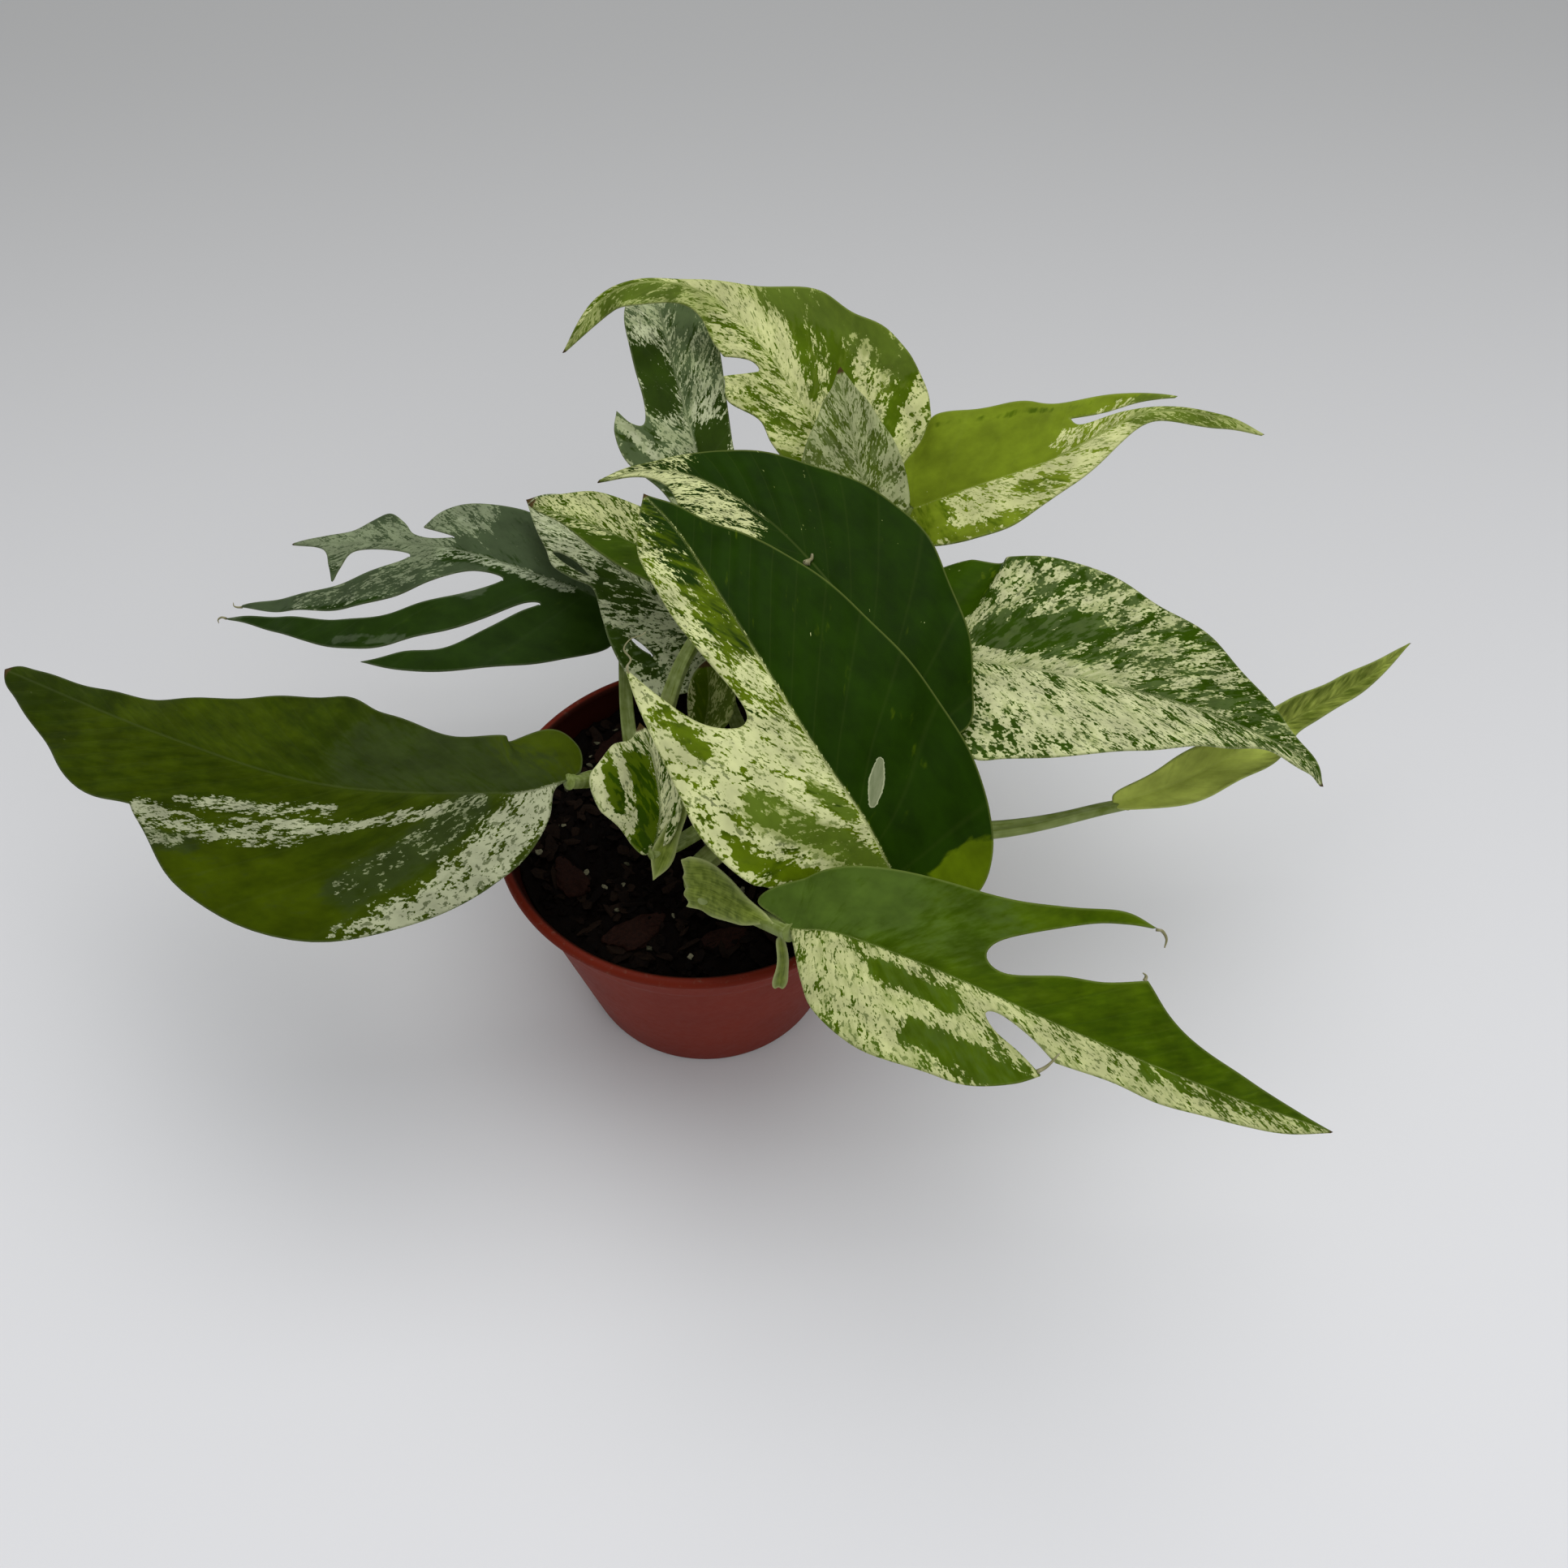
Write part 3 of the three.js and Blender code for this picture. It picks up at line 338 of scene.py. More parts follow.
def measure(
    points: Array, starts: Array, ends: Array
) -> tuple[Array, Array, Array]:
    """Measures points against an outline of straight pieces.

    A point is inside if a line from it towards +X crosses the outline an odd number of times.

    Args:
        points: the points, one a row.
        starts: where each straight piece starts.
        ends: where each straight piece ends.

    Returns:
        Each point's distance to the outline, the nearest place on it, and whether it is inside.
    """
    line = ends - starts
    square = np.maximum((line**2).sum(1), 1e-12)
    slope = line[:, 0] / np.where(line[:, 1] == 0, 1e-12, line[:, 1])
    parts = []
    for block in np.array_split(points, max(len(points) // BLOCK, 1)):
        p = block[:, None, :]
        t = np.clip(((p - starts) * line).sum(-1) / square, 0, 1)
        foot = starts + t[..., None] * line
        away = ((p - foot) ** 2).sum(-1)
        best = np.argmin(away, 1)
        row = np.arange(len(block))
        crosses = (starts[:, 1] > p[..., 1]) != (ends[:, 1] > p[..., 1])
        ahead = p[..., 0] < starts[:, 0] + (p[..., 1] - starts[:, 1]) * slope
        within = (crosses & ahead).sum(1) % 2 == 1
        parts.append((np.sqrt(away[row, best]), foot[row, best], within))
    distance, nearest, within = (np.concatenate(values) for values in zip(*parts))
    return distance, nearest, within


# ---- Materials ----
def colour(code: str) -> tuple[float, float, float, float]:
    """Turns an sRGB hex code to linear light by the sRGB curve.

    Args:
        code: red, green and blue as six hex digits, such as "4e6200".

    Returns:
        Linear red, green and blue, and an alpha of 1.
    """
    parts = (int(code[i:i + 2], 16) / 255 for i in (0, 2, 4))
    linear = [p / 12.92 if p <= 0.04045 else ((p + 0.055) / 1.055) ** 2.4 for p in parts]
    return (*linear, 1.0)


def add_node(
    material: Material, kind: str, inputs: dict | None = None, **settings: object
) -> bpy.types.Node:
    """Adds a shader node.

    Args:
        material: the material whose tree gets it.
        kind: the node's type name, without "ShaderNode" before it.
        inputs: for each input, by name or number, a value to set or an output to link.
        settings: the node's other properties.

    Returns:
        The node.
    """
    node = material.node_tree.nodes.new("ShaderNode" + kind)
    for key, value in settings.items():
        setattr(node, key, value)
    for key, value in (inputs or {}).items():
        if isinstance(value, Socket):
            material.node_tree.links.new(value, node.inputs[key])
        else:
            node.inputs[key].default_value = value
    return node


def new_material(name: str) -> Material:
    """Makes a node material with an empty tree.

    Args:
        name: the material's name.

    Returns:
        The material.
    """
    material = bpy.data.materials.new(name)
    material.use_nodes = True
    material.node_tree.nodes.clear()
    return material


def shade(material: Material, inputs: dict) -> Material:
    """Ends a material's tree in its shader.

    Args:
        material: the material.
        inputs: the shader's inputs by name, each a value to set or an output to link.

    Returns:
        The material.
    """
    shader = add_node(material, "BsdfPrincipled", inputs)
    add_node(material, "OutputMaterial", {"Surface": shader.outputs[0]})
    return material


class Rise(Enum):
    """How a share rises from none to full, by the name of the curve in a MapRange node."""

    SMOOTH = "SMOOTHSTEP"
    STRAIGHT = "LINEAR"


def lay_over(
    material: Material,
    below: Paint,
    above: Paint,
    value: Socket,
    low: float,
    high: float,
    most: float = 1.0,
    rise: Rise = Rise.SMOOTH,
) -> Socket:
    """Lays one colour over another where a value goes from low to high.

    Args:
        material: the material whose tree gets the nodes.
        below: the lower colour, as sRGB hex or as a layer made before.
        above: the colour laid over it, likewise.
        value: what decides where it lies.
        low: the value up to which none of it shows. It may be the larger of the two.
        high: the value from which it shows fully.
        most: the share of it that shows there.
        rise: how that share rises between them.

    Returns:
        The colour of both together.
    """
    share = add_node(material, "MapRange", {
        "Value": value, "From Min": low, "From Max": high, "To Max": most,
    }, interpolation_type=rise.value)
    first, second = (colour(paint) if isinstance(paint, str) else paint for paint in (below, above))
    both = add_node(material, "Mix", {0: share.outputs[0], 6: first, 7: second}, data_type="RGBA")
    return both.outputs[2]


@dataclass(frozen=True)
class Palette:
    """The tissue colours of a marbled blade, as sRGB hex, and how softly its greens meet."""

    deep: str
    lime: str
    grey: str
    pale: str
    cream: str
    blur: float = 0.05


DARK = Palette("1b3200", "566a04", "566a1e", "87934a", "c8cc92", blur=0.2)
OLIVE = Palette("283600", "3e4c00", "303c18", "68724a", "a6aa88", blur=0.5)
LEAF = Palette("344a00", "4e6404", "4a6022", "7d8a46", "c0c488", blur=0.5)
BRIGHT = Palette("4a6004", "72841c", "566820", "919d52", "cacd8e", blur=0.2)
# YOUNG's bright lime is partly the young leaf's own colour and partly painted light that lifts its
# shaded base.
YOUNG = Palette("4e5c18", "b2be58", "6d7c3c", "919d52", "b4ba7a", blur=0.5)
MISTY = Palette("2b3e08", "42541c", "53623e", "848f62", "b9bf98", blur=0.1)
HAZY = Palette("4e5f1a", "5c6e24", "66743e", "919b66", "b2b886", blur=0.2)
SHADE = Palette("22360a", "2f420c", "465338", "6c7856", "9aa384", blur=0.2)
MARBLE = Palette("2e4700", "4e6306", "4f6030", "8a9656", "c8cb98")


class Tint(Enum):
    """The three tints painted on a blade, by their place in its tint attribute."""

    CREAM = 0
    LIME = 1
    GREY = 2


@dataclass(frozen=True)
class Streak:
    """A band of tint along a line of points on the flat blade, in millimetres."""

    tint: Tint
    amount: float
    width: float
    path: tuple[Point2, ...]

    def cover(self, x: Array, y: Array) -> Array:
        """Measures how fully the band covers each place: 1 within it, falling to 0 at 1.5 widths.

        Args:
            x: places along the midrib, in millimetres.
            y: places to its left, in millimetres.

        Returns:
            0 to 1 for each place.
        """
        path = np.array(self.path, float)
        places = np.stack([x, y], -1)
        distance = measure(places, path[:-1], path[1:])[0]
        return 1 - smooth_step(0.5 * self.width, 1.5 * self.width, distance)

    def own_half(self, left: Array) -> Array:
        """Keeps a streak that runs beside the midrib to its own half.

        Args:
            left: 1 on the blade's left half and 0 on its right, for each place.

        Returns:
            1 where the streak may lie and 0 where it may not, for each place.
        """
        sides = [point[1] for point in self.path]
        if min(sides) >= 0 < max(sides):
            return left
        if max(sides) <= 0 > min(sides):
            return 1 - left
        return np.ones_like(left)


def cream(amount: float, width: float, *path: Point2) -> Streak:
    """A streak of cream tissue."""
    return Streak(Tint.CREAM, amount, width, path)


def lime(amount: float, width: float, *path: Point2) -> Streak:
    """A streak of yellower green."""
    return Streak(Tint.LIME, amount, width, path)


def grey(amount: float, width: float, *path: Point2) -> Streak:
    """A streak of grey-green: where only the lower layers of the leaf lack green, and on front_right's
    base, painted sheen.
    """
    return Streak(Tint.GREY, amount, width, path)


# Shares of cream tissue, and the levels which, with the skin's noise added, pass a half that often.
SHARE_TO_LEVEL = ((0.0, 0.1, 0.5, 1.0), (-0.1, 0.3, 0.5, 0.74))
# Half the width of the band beside the midrib in which one half's tints turn to the other's, in mm.
MIDRIB_BLEND = 0.35
# How far from its middle line a papery spot starts to fade and where it is gone, in mm.
PAPERY_FADE = (0.2, 2.6)


@dataclass(frozen=True)
class Marking:
    """How one blade is marbled. Each pair is the left half's amount and the right half's."""

    palette: Palette
    cream: Point2 = (0.0, 0.0)
    lime: Point2 = (0.0, 0.0)
    grey: Point2 = (0.0, 0.0)
    streaks: tuple[Streak, ...] = ()
    rake: float = 2.4
    papery: tuple[Point2, Point2] | None = None

    def tint(self, x: Array, y: Array) -> Array:
        """Paints the streaks in turn over the halves' own tints.

        Args:
            x: places along the midrib, in millimetres.
            y: places to its left, in millimetres.

        Returns:
            Cream, lime and grey amounts, three a place.
        """
        half = smooth_step(-MIDRIB_BLEND, MIDRIB_BLEND, y)[:, None]
        left, right = (np.array([t[i] for t in (self.cream, self.lime, self.grey)]) for i in (0, 1))
        amounts = left * half + right * (1 - half)
        for streak in self.streaks:
            cover = streak.cover(x, y) * streak.own_half(half[:, 0])
            place = streak.tint.value
            amounts[:, place] += (streak.amount - amounts[:, place]) * cover
        amounts[:, 0] = np.interp(amounts[:, 0], *SHARE_TO_LEVEL)
        return amounts

    def papery_spot(self, x: Array, y: Array) -> Array:
        """Measures how papery the tissue is: wholly so along the spot's middle line, and less and
        less away from it, over distances that narrow to the ends as 0.45 + 0.55 sin(pi t).

        Args:
            x: places along the midrib, in millimetres.
            y: places to its left, in millimetres.

        Returns:
            0 to 1 for each place.
        """
        if not self.papery:
            return np.zeros_like(x)
        first, last = (np.array(p) for p in self.papery)
        way = last - first
        t = np.clip(((x - first[0]) * way[0] + (y - first[1]) * way[1]) / (way @ way), 0, 1)
        away = np.hypot(x - first[0] - t * way[0], y - first[1] - t * way[1])
        return 1 - smooth_step(*PAPERY_FADE, away / (0.45 + 0.55 * np.sin(np.pi * t)))


@dataclass(frozen=True)
class LeafFinish:
    """Living pothos leaf: a smooth waxy skin over green and cream tissue. The skin gives a soft
    satin gloss, and the marbling runs along the side veins in ragged streaks with fine flecks.
    Each size is that of a mark, across the veins and along them."""

    patch_mm: Point2 = (2.2, 9.0)
    streak_mm: Point2 = (0.85, 3.6)
    fleck_mm: Point2 = (0.42, 0.95)
    sprinkle_mm: Point2 = (0.6, 1.5)
    cloud_mm: Point2 = (9.0, 6.0)
    skin_mm: Point2 = (0.35, 0.35)
    vein_spacing_mm: float = 9.0
    vein_width: float = 0.07
    rib_width_mm: float = 0.4
    gloss: float = 0.42
    underside: str = "a3ad83"
    dried: str = "4a3a1e"
    scar_rim: str = "aab089"
    paper: tuple[str, str] = ("5d6b44", "9ba07c")

    def marks(
        self, material: Material, source: Socket, size: Point2, offset: float, detail: float
    ) -> Socket:
        """Makes noise whose marks have a real size.

        Args:
            material: the material whose tree gets the nodes.
            source: places on the blade, in millimetres.
            size: the size of a mark across and along, in millimetres.
            offset: shifts the noise, so that no two are alike.
            detail: how many finer noises are added to it.

        Returns:
            The noise, about a half on the whole.
        """
        place = add_node(material, "Mapping", {
            "Vector": source,
            "Location": (offset, offset * 0.61, offset * 1.7),
            "Scale": (1 / size[0], 1 / size[1], 0.0),
        })
        texture = add_node(material, "TexNoise", {
            "Vector": place.outputs[0], "Scale": 1.0, "Detail": detail, "Roughness": 0.58,
        })
        return texture.outputs[0]

    def unsettled(self, material: Material, start: Socket, *terms: tuple[Socket, float]) -> Socket:
        """Adds noises to a value, each less a half and times its weight.

        Args:
            material: the material whose tree gets the nodes.
            start: the value.
            terms: each noise with its weight.

        Returns:
            The sum.
        """
        total = start
        for noise, weight in terms:
            product = add_node(
                material, "Math", {0: noise, 1: weight, 2: total}, operation="MULTIPLY_ADD"
            )
            middle = add_node(
                material, "Math", {0: product.outputs[0], 1: weight / 2}, operation="SUBTRACT"
            )
            total = middle.outputs[0]
        return total

    def material(self, name: str, palette: Palette, seed: float) -> Material:
        """Builds the leaf material.

        Cream tissue shows where the painted cream amount plus ragged noise passes a half. Just
        under that the tissue is pale green. Small flecks of either colour break up the other.
        The veins, flat, tint and side attributes are those that BladePiece.attributes gives.

        Args:
            name: the material's name.
            palette: the blade's tissue colours.
            seed: shifts the noise, so no two blades are alike.

        Returns:
            The material.
        """
        material = new_material(name)
        veins, flat, tint, side = (
            add_node(material, "Attribute", attribute_name=label).outputs["Vector"]
            for label in ("veins", "flat", "tint", "side")
        )
        amount, place, face, run = (
            add_node(material, "SeparateXYZ", {0: vector}).outputs
            for vector in (tint, flat, side, veins)
        )
        patch, streak, fleck, sprinkle, haze, blotch = (
            self.marks(material, veins, size, seed + shift, detail)
            for size, shift, detail in (
                (self.patch_mm, 0, 2.0), (self.streak_mm, 5, 3.0), (self.fleck_mm, 9, 3.0),
                (self.sprinkle_mm, 43, 3.0), (self.streak_mm, 31, 4.0), (self.patch_mm, 37, 2.0),
            )
        )
        cloud = self.marks(material, flat, self.cloud_mm, seed + 13, 3.0)
        skin = self.marks(material, flat, self.skin_mm, seed + 21, 2.0)

        creaming = self.unsettled(material, amount[0], (patch, 1.0), (streak, 1.15), (fleck, 1.1))
        yellowing = self.unsettled(material, amount[1], (blotch, 1.1), (haze, 0.6))
        greying = self.unsettled(material, amount[2], (haze, 0.9), (blotch, 0.7))
        veiling = self.unsettled(material, greying, (cloud, 0.6))
        speckle = self.unsettled(material, sprinkle, (patch, 0.3))
        dryness = self.unsettled(material, face[2], (streak, 0.5))
        scarring = self.unsettled(material, face[1], (fleck, 0.25))
        to_vein = self.way_to_vein(material, run[2])
        to_rib = add_node(material, "Math", {0: place[1]}, operation="ABSOLUTE").outputs[0]

        soft, hazy = palette.blur, 0.05 + 0.4 * palette.blur
        green = lay_over(material, palette.deep, palette.lime, yellowing, 0.5 - soft, 0.5 + soft)
        green = lay_over(material, green, palette.grey, greying, 0.5 - hazy, 0.5 + hazy, 0.85)
        light = lay_over(material, palette.cream, palette.pale, veiling, 0.3, 0.75, 0.7)
        light = lay_over(material, light, green, speckle, 0.57, 0.63, 0.7)
        tissue = lay_over(material, green, palette.pale, creaming, 0.45, 0.49)
        tissue = lay_over(material, tissue, light, creaming, 0.49, 0.53)
        uneven = add_node(material, "MapRange", {
            "Value": cloud, "From Min": 0.3, "From Max": 0.7, "To Min": 0.76, "To Max": 1.22,
        })
        tissue = add_node(material, "Mix", {
            0: 1.0, 6: tissue, 7: uneven.outputs[0],
        }, data_type="RGBA", blend_type="MULTIPLY").outputs[2]
        dim, bright = (colour(code) for code in self.paper)
        paper = add_node(
            material, "Mix", {0: haze, 6: dim, 7: bright}, data_type="RGBA"
        ).outputs[2]
        for above, value, low, high, most, rise in (
            (palette.pale, to_vein, self.vein_width, 0.0, 0.02, Rise.SMOOTH),
            (palette.pale, to_rib, self.rib_width_mm, self.rib_width_mm * 0.35, 0.1, Rise.SMOOTH),
            (palette.pale, place[2], 0.6, 0.1, 0.35, Rise.SMOOTH),
            (self.underside, face[0], 0.0, 1.0, 0.38, Rise.STRAIGHT),
            (self.dried, dryness, 0.4, 0.7, 1.0, Rise.SMOOTH),
            (self.scar_rim, scarring, 0.25, 0.32, 1.0, Rise.SMOOTH),
            (paper, scarring, 0.42, 0.5, 1.0, Rise.SMOOTH),
        ):
            tissue = lay_over(material, tissue, above, value, low, high, most, rise)

        dull = self.unsettled(material, face[0], (cloud, 0.9))
        rough = add_node(material, "MapRange", {
            "Value": dull, "From Min": -0.3, "From Max": 1.3,
            "To Min": self.gloss - 0.04, "To Max": self.gloss + 0.24,
        })
        vein = add_node(material, "MapRange", {
            "Value": to_vein, "From Min": self.vein_width, "From Max": 0.0,
        }, interpolation_type="SMOOTHSTEP")
        relief = self.unsettled(material, vein.outputs[0], (skin, 0.5), (streak, 0.35))
        bump = add_node(material, "Bump", {
            "Strength": 0.22, "Distance": 0.00018, "Height": relief,
        }, invert=True)
        return shade(material, {
            "Base Color": tissue,
            "Roughness": rough.outputs[0],
            "IOR": 1.42,
            "Specular IOR Level": 0.04,
            "Normal": bump.outputs[0],
        })

    def way_to_vein(self, material: Material, start: Socket) -> Socket:
        """Measures the way to the nearest side vein, as veins leave the midrib every
        vein_spacing_mm.

        Args:
            material: the material whose tree gets the nodes.
            start: where on the midrib the vein through each place would start, in millimetres.

        Returns:
            0 on a vein, and a half midway between two.
        """
        turns = add_node(
            material, "Math", {0: start, 1: 1 / self.vein_spacing_mm}, operation="MULTIPLY"
        )
        return add_node(
            material, "Math", {0: turns.outputs[0], 1: 0.5}, operation="PINGPONG"
        ).outputs[0]


@dataclass(frozen=True)
class StalkFinish:
    """Living leaf stalk: smooth green skin with fine lengthwise fibres, which give long faint
    streaks and a satin gloss."""

    green: str = "65742e"
    light: str = "8a975a"
    dry: str = "8a7a4e"
    fibres_per_mm: Point3 = (0.12, 2.2, 0.0)

    def material(self, name: str) -> Material:
        """Builds the stalk material. The along attribute is (way along, way round, dryness).

        Args:
            name: the material's name.

        Returns:
            The material.
        """
        material = new_material(name)
        along = add_node(material, "Attribute", attribute_name="along").outputs["Vector"]
        dryness = add_node(material, "SeparateXYZ", {0: along}).outputs[2]
        place = add_node(material, "Mapping", {"Vector": along, "Scale": self.fibres_per_mm})
        fibres, spots = (
            add_node(material, "TexNoise", {"Vector": where, **sizes}).outputs[0]
            for where, sizes in (
                (place.outputs[0], {"Scale": 1.0, "Detail": 4.0}),
                (along, {"Scale": 0.45, "Detail": 2.0}),
            )
        )
        both = add_node(material, "Math", {0: fibres, 1: spots}, operation="ADD").outputs[0]
        skin = lay_over(material, self.green, self.light, both, 0.8, 1.25, rise=Rise.STRAIGHT)
        skin = lay_over(material, skin, self.dry, dryness, 0.0, 1.0, rise=Rise.STRAIGHT)
        bump = add_node(material, "Bump", {"Strength": 0.3, "Distance": 0.0001, "Height": fibres})
        return shade(material, {
            "Base Color": skin,
            "Roughness": 0.46,
            "Specular IOR Level": 0.12,
            "Normal": bump.outputs[0],
        })


@dataclass(frozen=True)
class PotFinish:
    """Injection-moulded polypropylene, terracotta-coloured: a faintly mottled satin skin with
    fine mould texture, light rubbing on the rim, and painted shade on the rim's top and inside."""

    body: str = "7a2612"
    shadow: str = "691d0d"
    dust: str = "80604f"
    painted_shade: str = "1c0904"
    rim_band: float = 0.004

    def material(self, name: str, rim_height: float) -> Material:
        """Builds the pot material. The inner attribute is 1 inside the pot, where shade is painted.

        Args:
            name: the material's name.
            rim_height: the top of the rim, in metres, below which its rubbing and painted shade show.

        Returns:
            The material.
        """
        material = new_material(name)
        where = add_node(material, "TexCoord").outputs["Object"]
        cloud, grain, scuff = (
            add_node(material, "TexNoise", {"Vector": where, **sizes}).outputs[0]
            for sizes in (
                {"Scale": 60.0, "Detail": 3.0},
                {"Scale": 2200.0, "Detail": 2.0},
                {"Scale": 420.0, "Detail": 5.0, "Roughness": 0.7},
            )
        )
        height = add_node(material, "SeparateXYZ", {0: where}).outputs[2]
        inner = add_node(material, "Attribute", attribute_name="inner").outputs["Fac"]
        rim_foot = rim_height - self.rim_band
        near_rim = add_node(material, "MapRange", {
            "Value": height, "From Min": rim_foot, "From Max": rim_height,
        })
        rubbed = add_node(material, "MapRange", {"Value": scuff, "From Min": 0.56, "From Max": 0.7})
        worn = add_node(
            material, "Math", {0: near_rim.outputs[0], 1: rubbed.outputs[0]}, operation="MULTIPLY"
        ).outputs[0]
        skin: Paint = self.shadow
        for above, value, low, high, most in (
            (self.body, cloud, 0.0, 1.0, 1.0),
            (self.dust, worn, 0.0, 1.0, 0.6),
            # Painted shade: the rim's top darkened towards near-black, and the inside wall made nearly
            # black.
            (self.painted_shade, height, rim_foot, rim_height, 0.3),
            (self.painted_shade, inner, 0.0, 1.0, 0.9),
        ):
            skin = lay_over(material, skin, above, value, low, high, most, Rise.STRAIGHT)
        rough = add_node(material, "MapRange", {"Value": scuff, "To Min": 0.36, "To Max": 0.6})
        bump = add_node(material, "Bump", {"Strength": 0.12, "Distance": 0.0001, "Height": grain})
        return shade(material, {
            "Base Color": skin,
            "Roughness": rough.outputs[0],
            "IOR": 1.49,
            "Specular IOR Level": 0.07,
            "Normal": bump.outputs[0],
        })


@dataclass(frozen=True)
class CrumbFinish:
    """Something crumbly in damp potting mix: composted bark, wood or perlite. It is rough, and
    its damp face gives a dull gloss here and there. The tone attribute sets each crumb apart."""

    dark: str
    light: str
    grain_mm: float
    rough: Point2

    def material(self, name: str) -> Material:
        """Builds the crumb material.

        Args:
            name: the material's name.

        Returns:
            The material.
        """
        material = new_material(name)
        where = add_node(material, "TexCoord").outputs["Object"]
        tone = add_node(material, "Attribute", attribute_name="tone").outputs["Fac"]
        grain = add_node(material, "TexNoise", {
            "Vector": where, "Scale": 1 / (self.grain_mm * MM), "Detail": 5.0, "Roughness": 0.65,
        }).outputs[0]
        both = add_node(material, "Math", {0: grain, 1: tone}, operation="MULTIPLY").outputs[0]
        skin = lay_over(material, self.dark, self.light, both, 0.1, 0.6, rise=Rise.STRAIGHT)
        smooth, coarse = self.rough
        rough = add_node(material, "MapRange", {
            "Value": grain, "From Min": 0.3, "From Max": 0.7, "To Min": smooth, "To Max": coarse,
        })
        bump = add_node(material, "Bump", {"Strength": 0.7, "Distance": 0.0004, "Height": grain})
        return shade(material, {
            "Base Color": skin,
            "Roughness": rough.outputs[0],
            "Specular IOR Level": 0.03,
            "Normal": bump.outputs[0],
        })


# The mix's and the chips' near-black colours are partly their own damp dark tone and partly painted
# shade from the leaves above.
MIX_FINISH = CrumbFinish(dark="020101", light="0e0805", grain_mm=1.6, rough=(0.55, 0.95))
BARK_FINISH = CrumbFinish(dark="060302", light="2a1812", grain_mm=1.1, rough=(0.5, 0.85))
CHIP_FINISH = CrumbFinish(dark="020101", light="1c130d", grain_mm=0.9, rough=(0.5, 0.9))
PERLITE_FINISH = CrumbFinish(dark="2a2a1c", light="7a765e", grain_mm=0.5, rough=(0.7, 0.95))


# ---- Blades ----
class Spine:
    """A smooth midrib in space, with the blade's directions along it. Distances are in millimetres.

    At each distance it holds the point, the direction along the midrib, the way the upper face
    looks (the wanted face less its part along the midrib), and the way to the blade's left."""

    def __init__(self, points: tuple[Point3, ...], face: Point3) -> None:
        """Tabulates the spine.

        Args:
            points: the points it passes, in millimetres.
            face: the way the blade's upper face looks, as far as the spine allows.
        """
        self.point = smooth_curve(np.array(points), 24)
        steps = np.linalg.norm(np.diff(self.point, axis=0), axis=1)
        self.at = np.concatenate([[0], np.cumsum(steps)])
        self.length = float(self.at[-1])
        self.along = unit(np.gradient(self.point, axis=0))
        wanted = np.array(face, float)
        self.up = unit(wanted - self.along * (self.along @ wanted)[:, None])
        self.left = np.cross(self.up, self.along)

    def frame(self, x: Array) -> tuple[Array, Array, Array]:
        """Reads the spine at distances along it. It goes on straight past its ends.

        Args:
            x: distances along the spine.

        Returns:
            The points, and the leftward and upward directions there.
        """
        held = np.clip(x, 0, self.length)
        tables = (self.point, self.left, self.up, self.along)
        point, left, up, along = (
            np.stack([np.interp(held, self.at, table[:, i]) for i in range(3)], -1) for table in tables
        )
        return point + along * (x - held)[..., None], unit(left), unit(up)


# The distance outwards for which a blade's curl is given, in mm.
CURL_EVERY = 30


@dataclass(frozen=True)
class Blade:
    """A leaf blade: a flat outline, bent along its midrib and folded about it.

    left and right are the margins as (distance along the midrib, distance from it), with a third
    number where there is a corner. fold is how many degrees each half is lifted at the midrib,
    and curl how many more it lifts every CURL_EVERY mm. shift is how far the blade's middle lies
    from its CAD node's, where its fine tips reach further."""

    spine: tuple[Point3, ...]
    face: Point3
    fold: Point2
    curl: Point2
    left: Outline
    right: Outline
    holes: tuple[Outline, ...] = ()
    wave_mm: float = 0.5
    quilt_mm: float = 0.16
    shift: Point3 = (0.0, 0.0, 0.0)

    def loops(self, length: float) -> list[Array]:
        """Draws the blade's outline and its holes, smooth between corners.

        Args:
            length: the length of the midrib.

        Returns:
            Closed outlines, one point a row.
        """
        right = [(p[0], -p[1], *p[2:]) for p in self.right]
        points = [(0, 0, 1), *right, (length, 0, 1), *reversed(self.left)]
        corners = [i for i, p in enumerate(points) if len(p) > 2]
        pieces = []
        for start, end in zip(corners, corners[1:] + [len(points)]):
            stretch = [points[i % len(points)][:2] for i in range(start, end + 1)]
            pieces.append(smooth_curve(np.array(stretch, float), 7)[:-1])
        closed = [np.array(hole + hole[:3], float) for hole in self.holes]
        rounded = [smooth_curve(hole, 5)[5:-6] for hole in closed]
        return [np.vstack(pieces), *rounded]

    def bend(self, spine: Spine, x: Array, y: Array, height: Array) -> Array:
        """Takes flat places to space, in millimetres.

        Each half leaves the midrib at its fold angle, which grows steadily outwards, so it lies
        on an arc: out = (sin(angle) - sin(start)) / turn, rise = (cos(start) - cos(angle)) / turn.

        Args:
            spine: the blade's spine.
            x: distances along the midrib.
            y: distances to its left.
            height: distances above the middle of the blade.

        Returns:
            The places in space, one a row.
        """
        side = (y <= 0).astype(int)
        sign = np.where(y > 0, 1.0, -1.0)
        start = np.radians(np.array(self.fold, float))[side]
        turn = np.radians(np.where(np.array(self.curl) == 0, 1e-3, self.curl))[side] / CURL_EVERY
        away = np.abs(y)
        angle = start + turn * away
        out = (np.sin(angle) - np.sin(start)) / turn
        soft = np.sqrt(away**2 + 0.8) - math.sqrt(0.8)
        rise = (np.cos(start) - np.cos(start + turn * soft)) / turn
        tilt = angle * smooth_step(0, 1.2, away)
        point, left, up = spine.frame(x)
        across = sign * (out - height * np.sin(tilt))
        return point + left * across[:, None] + up * (rise + height * np.cos(tilt))[:, None]


# How far behind the blade's base the slope of its veins starts to rise, in mm.
FIRST_VEIN = 8


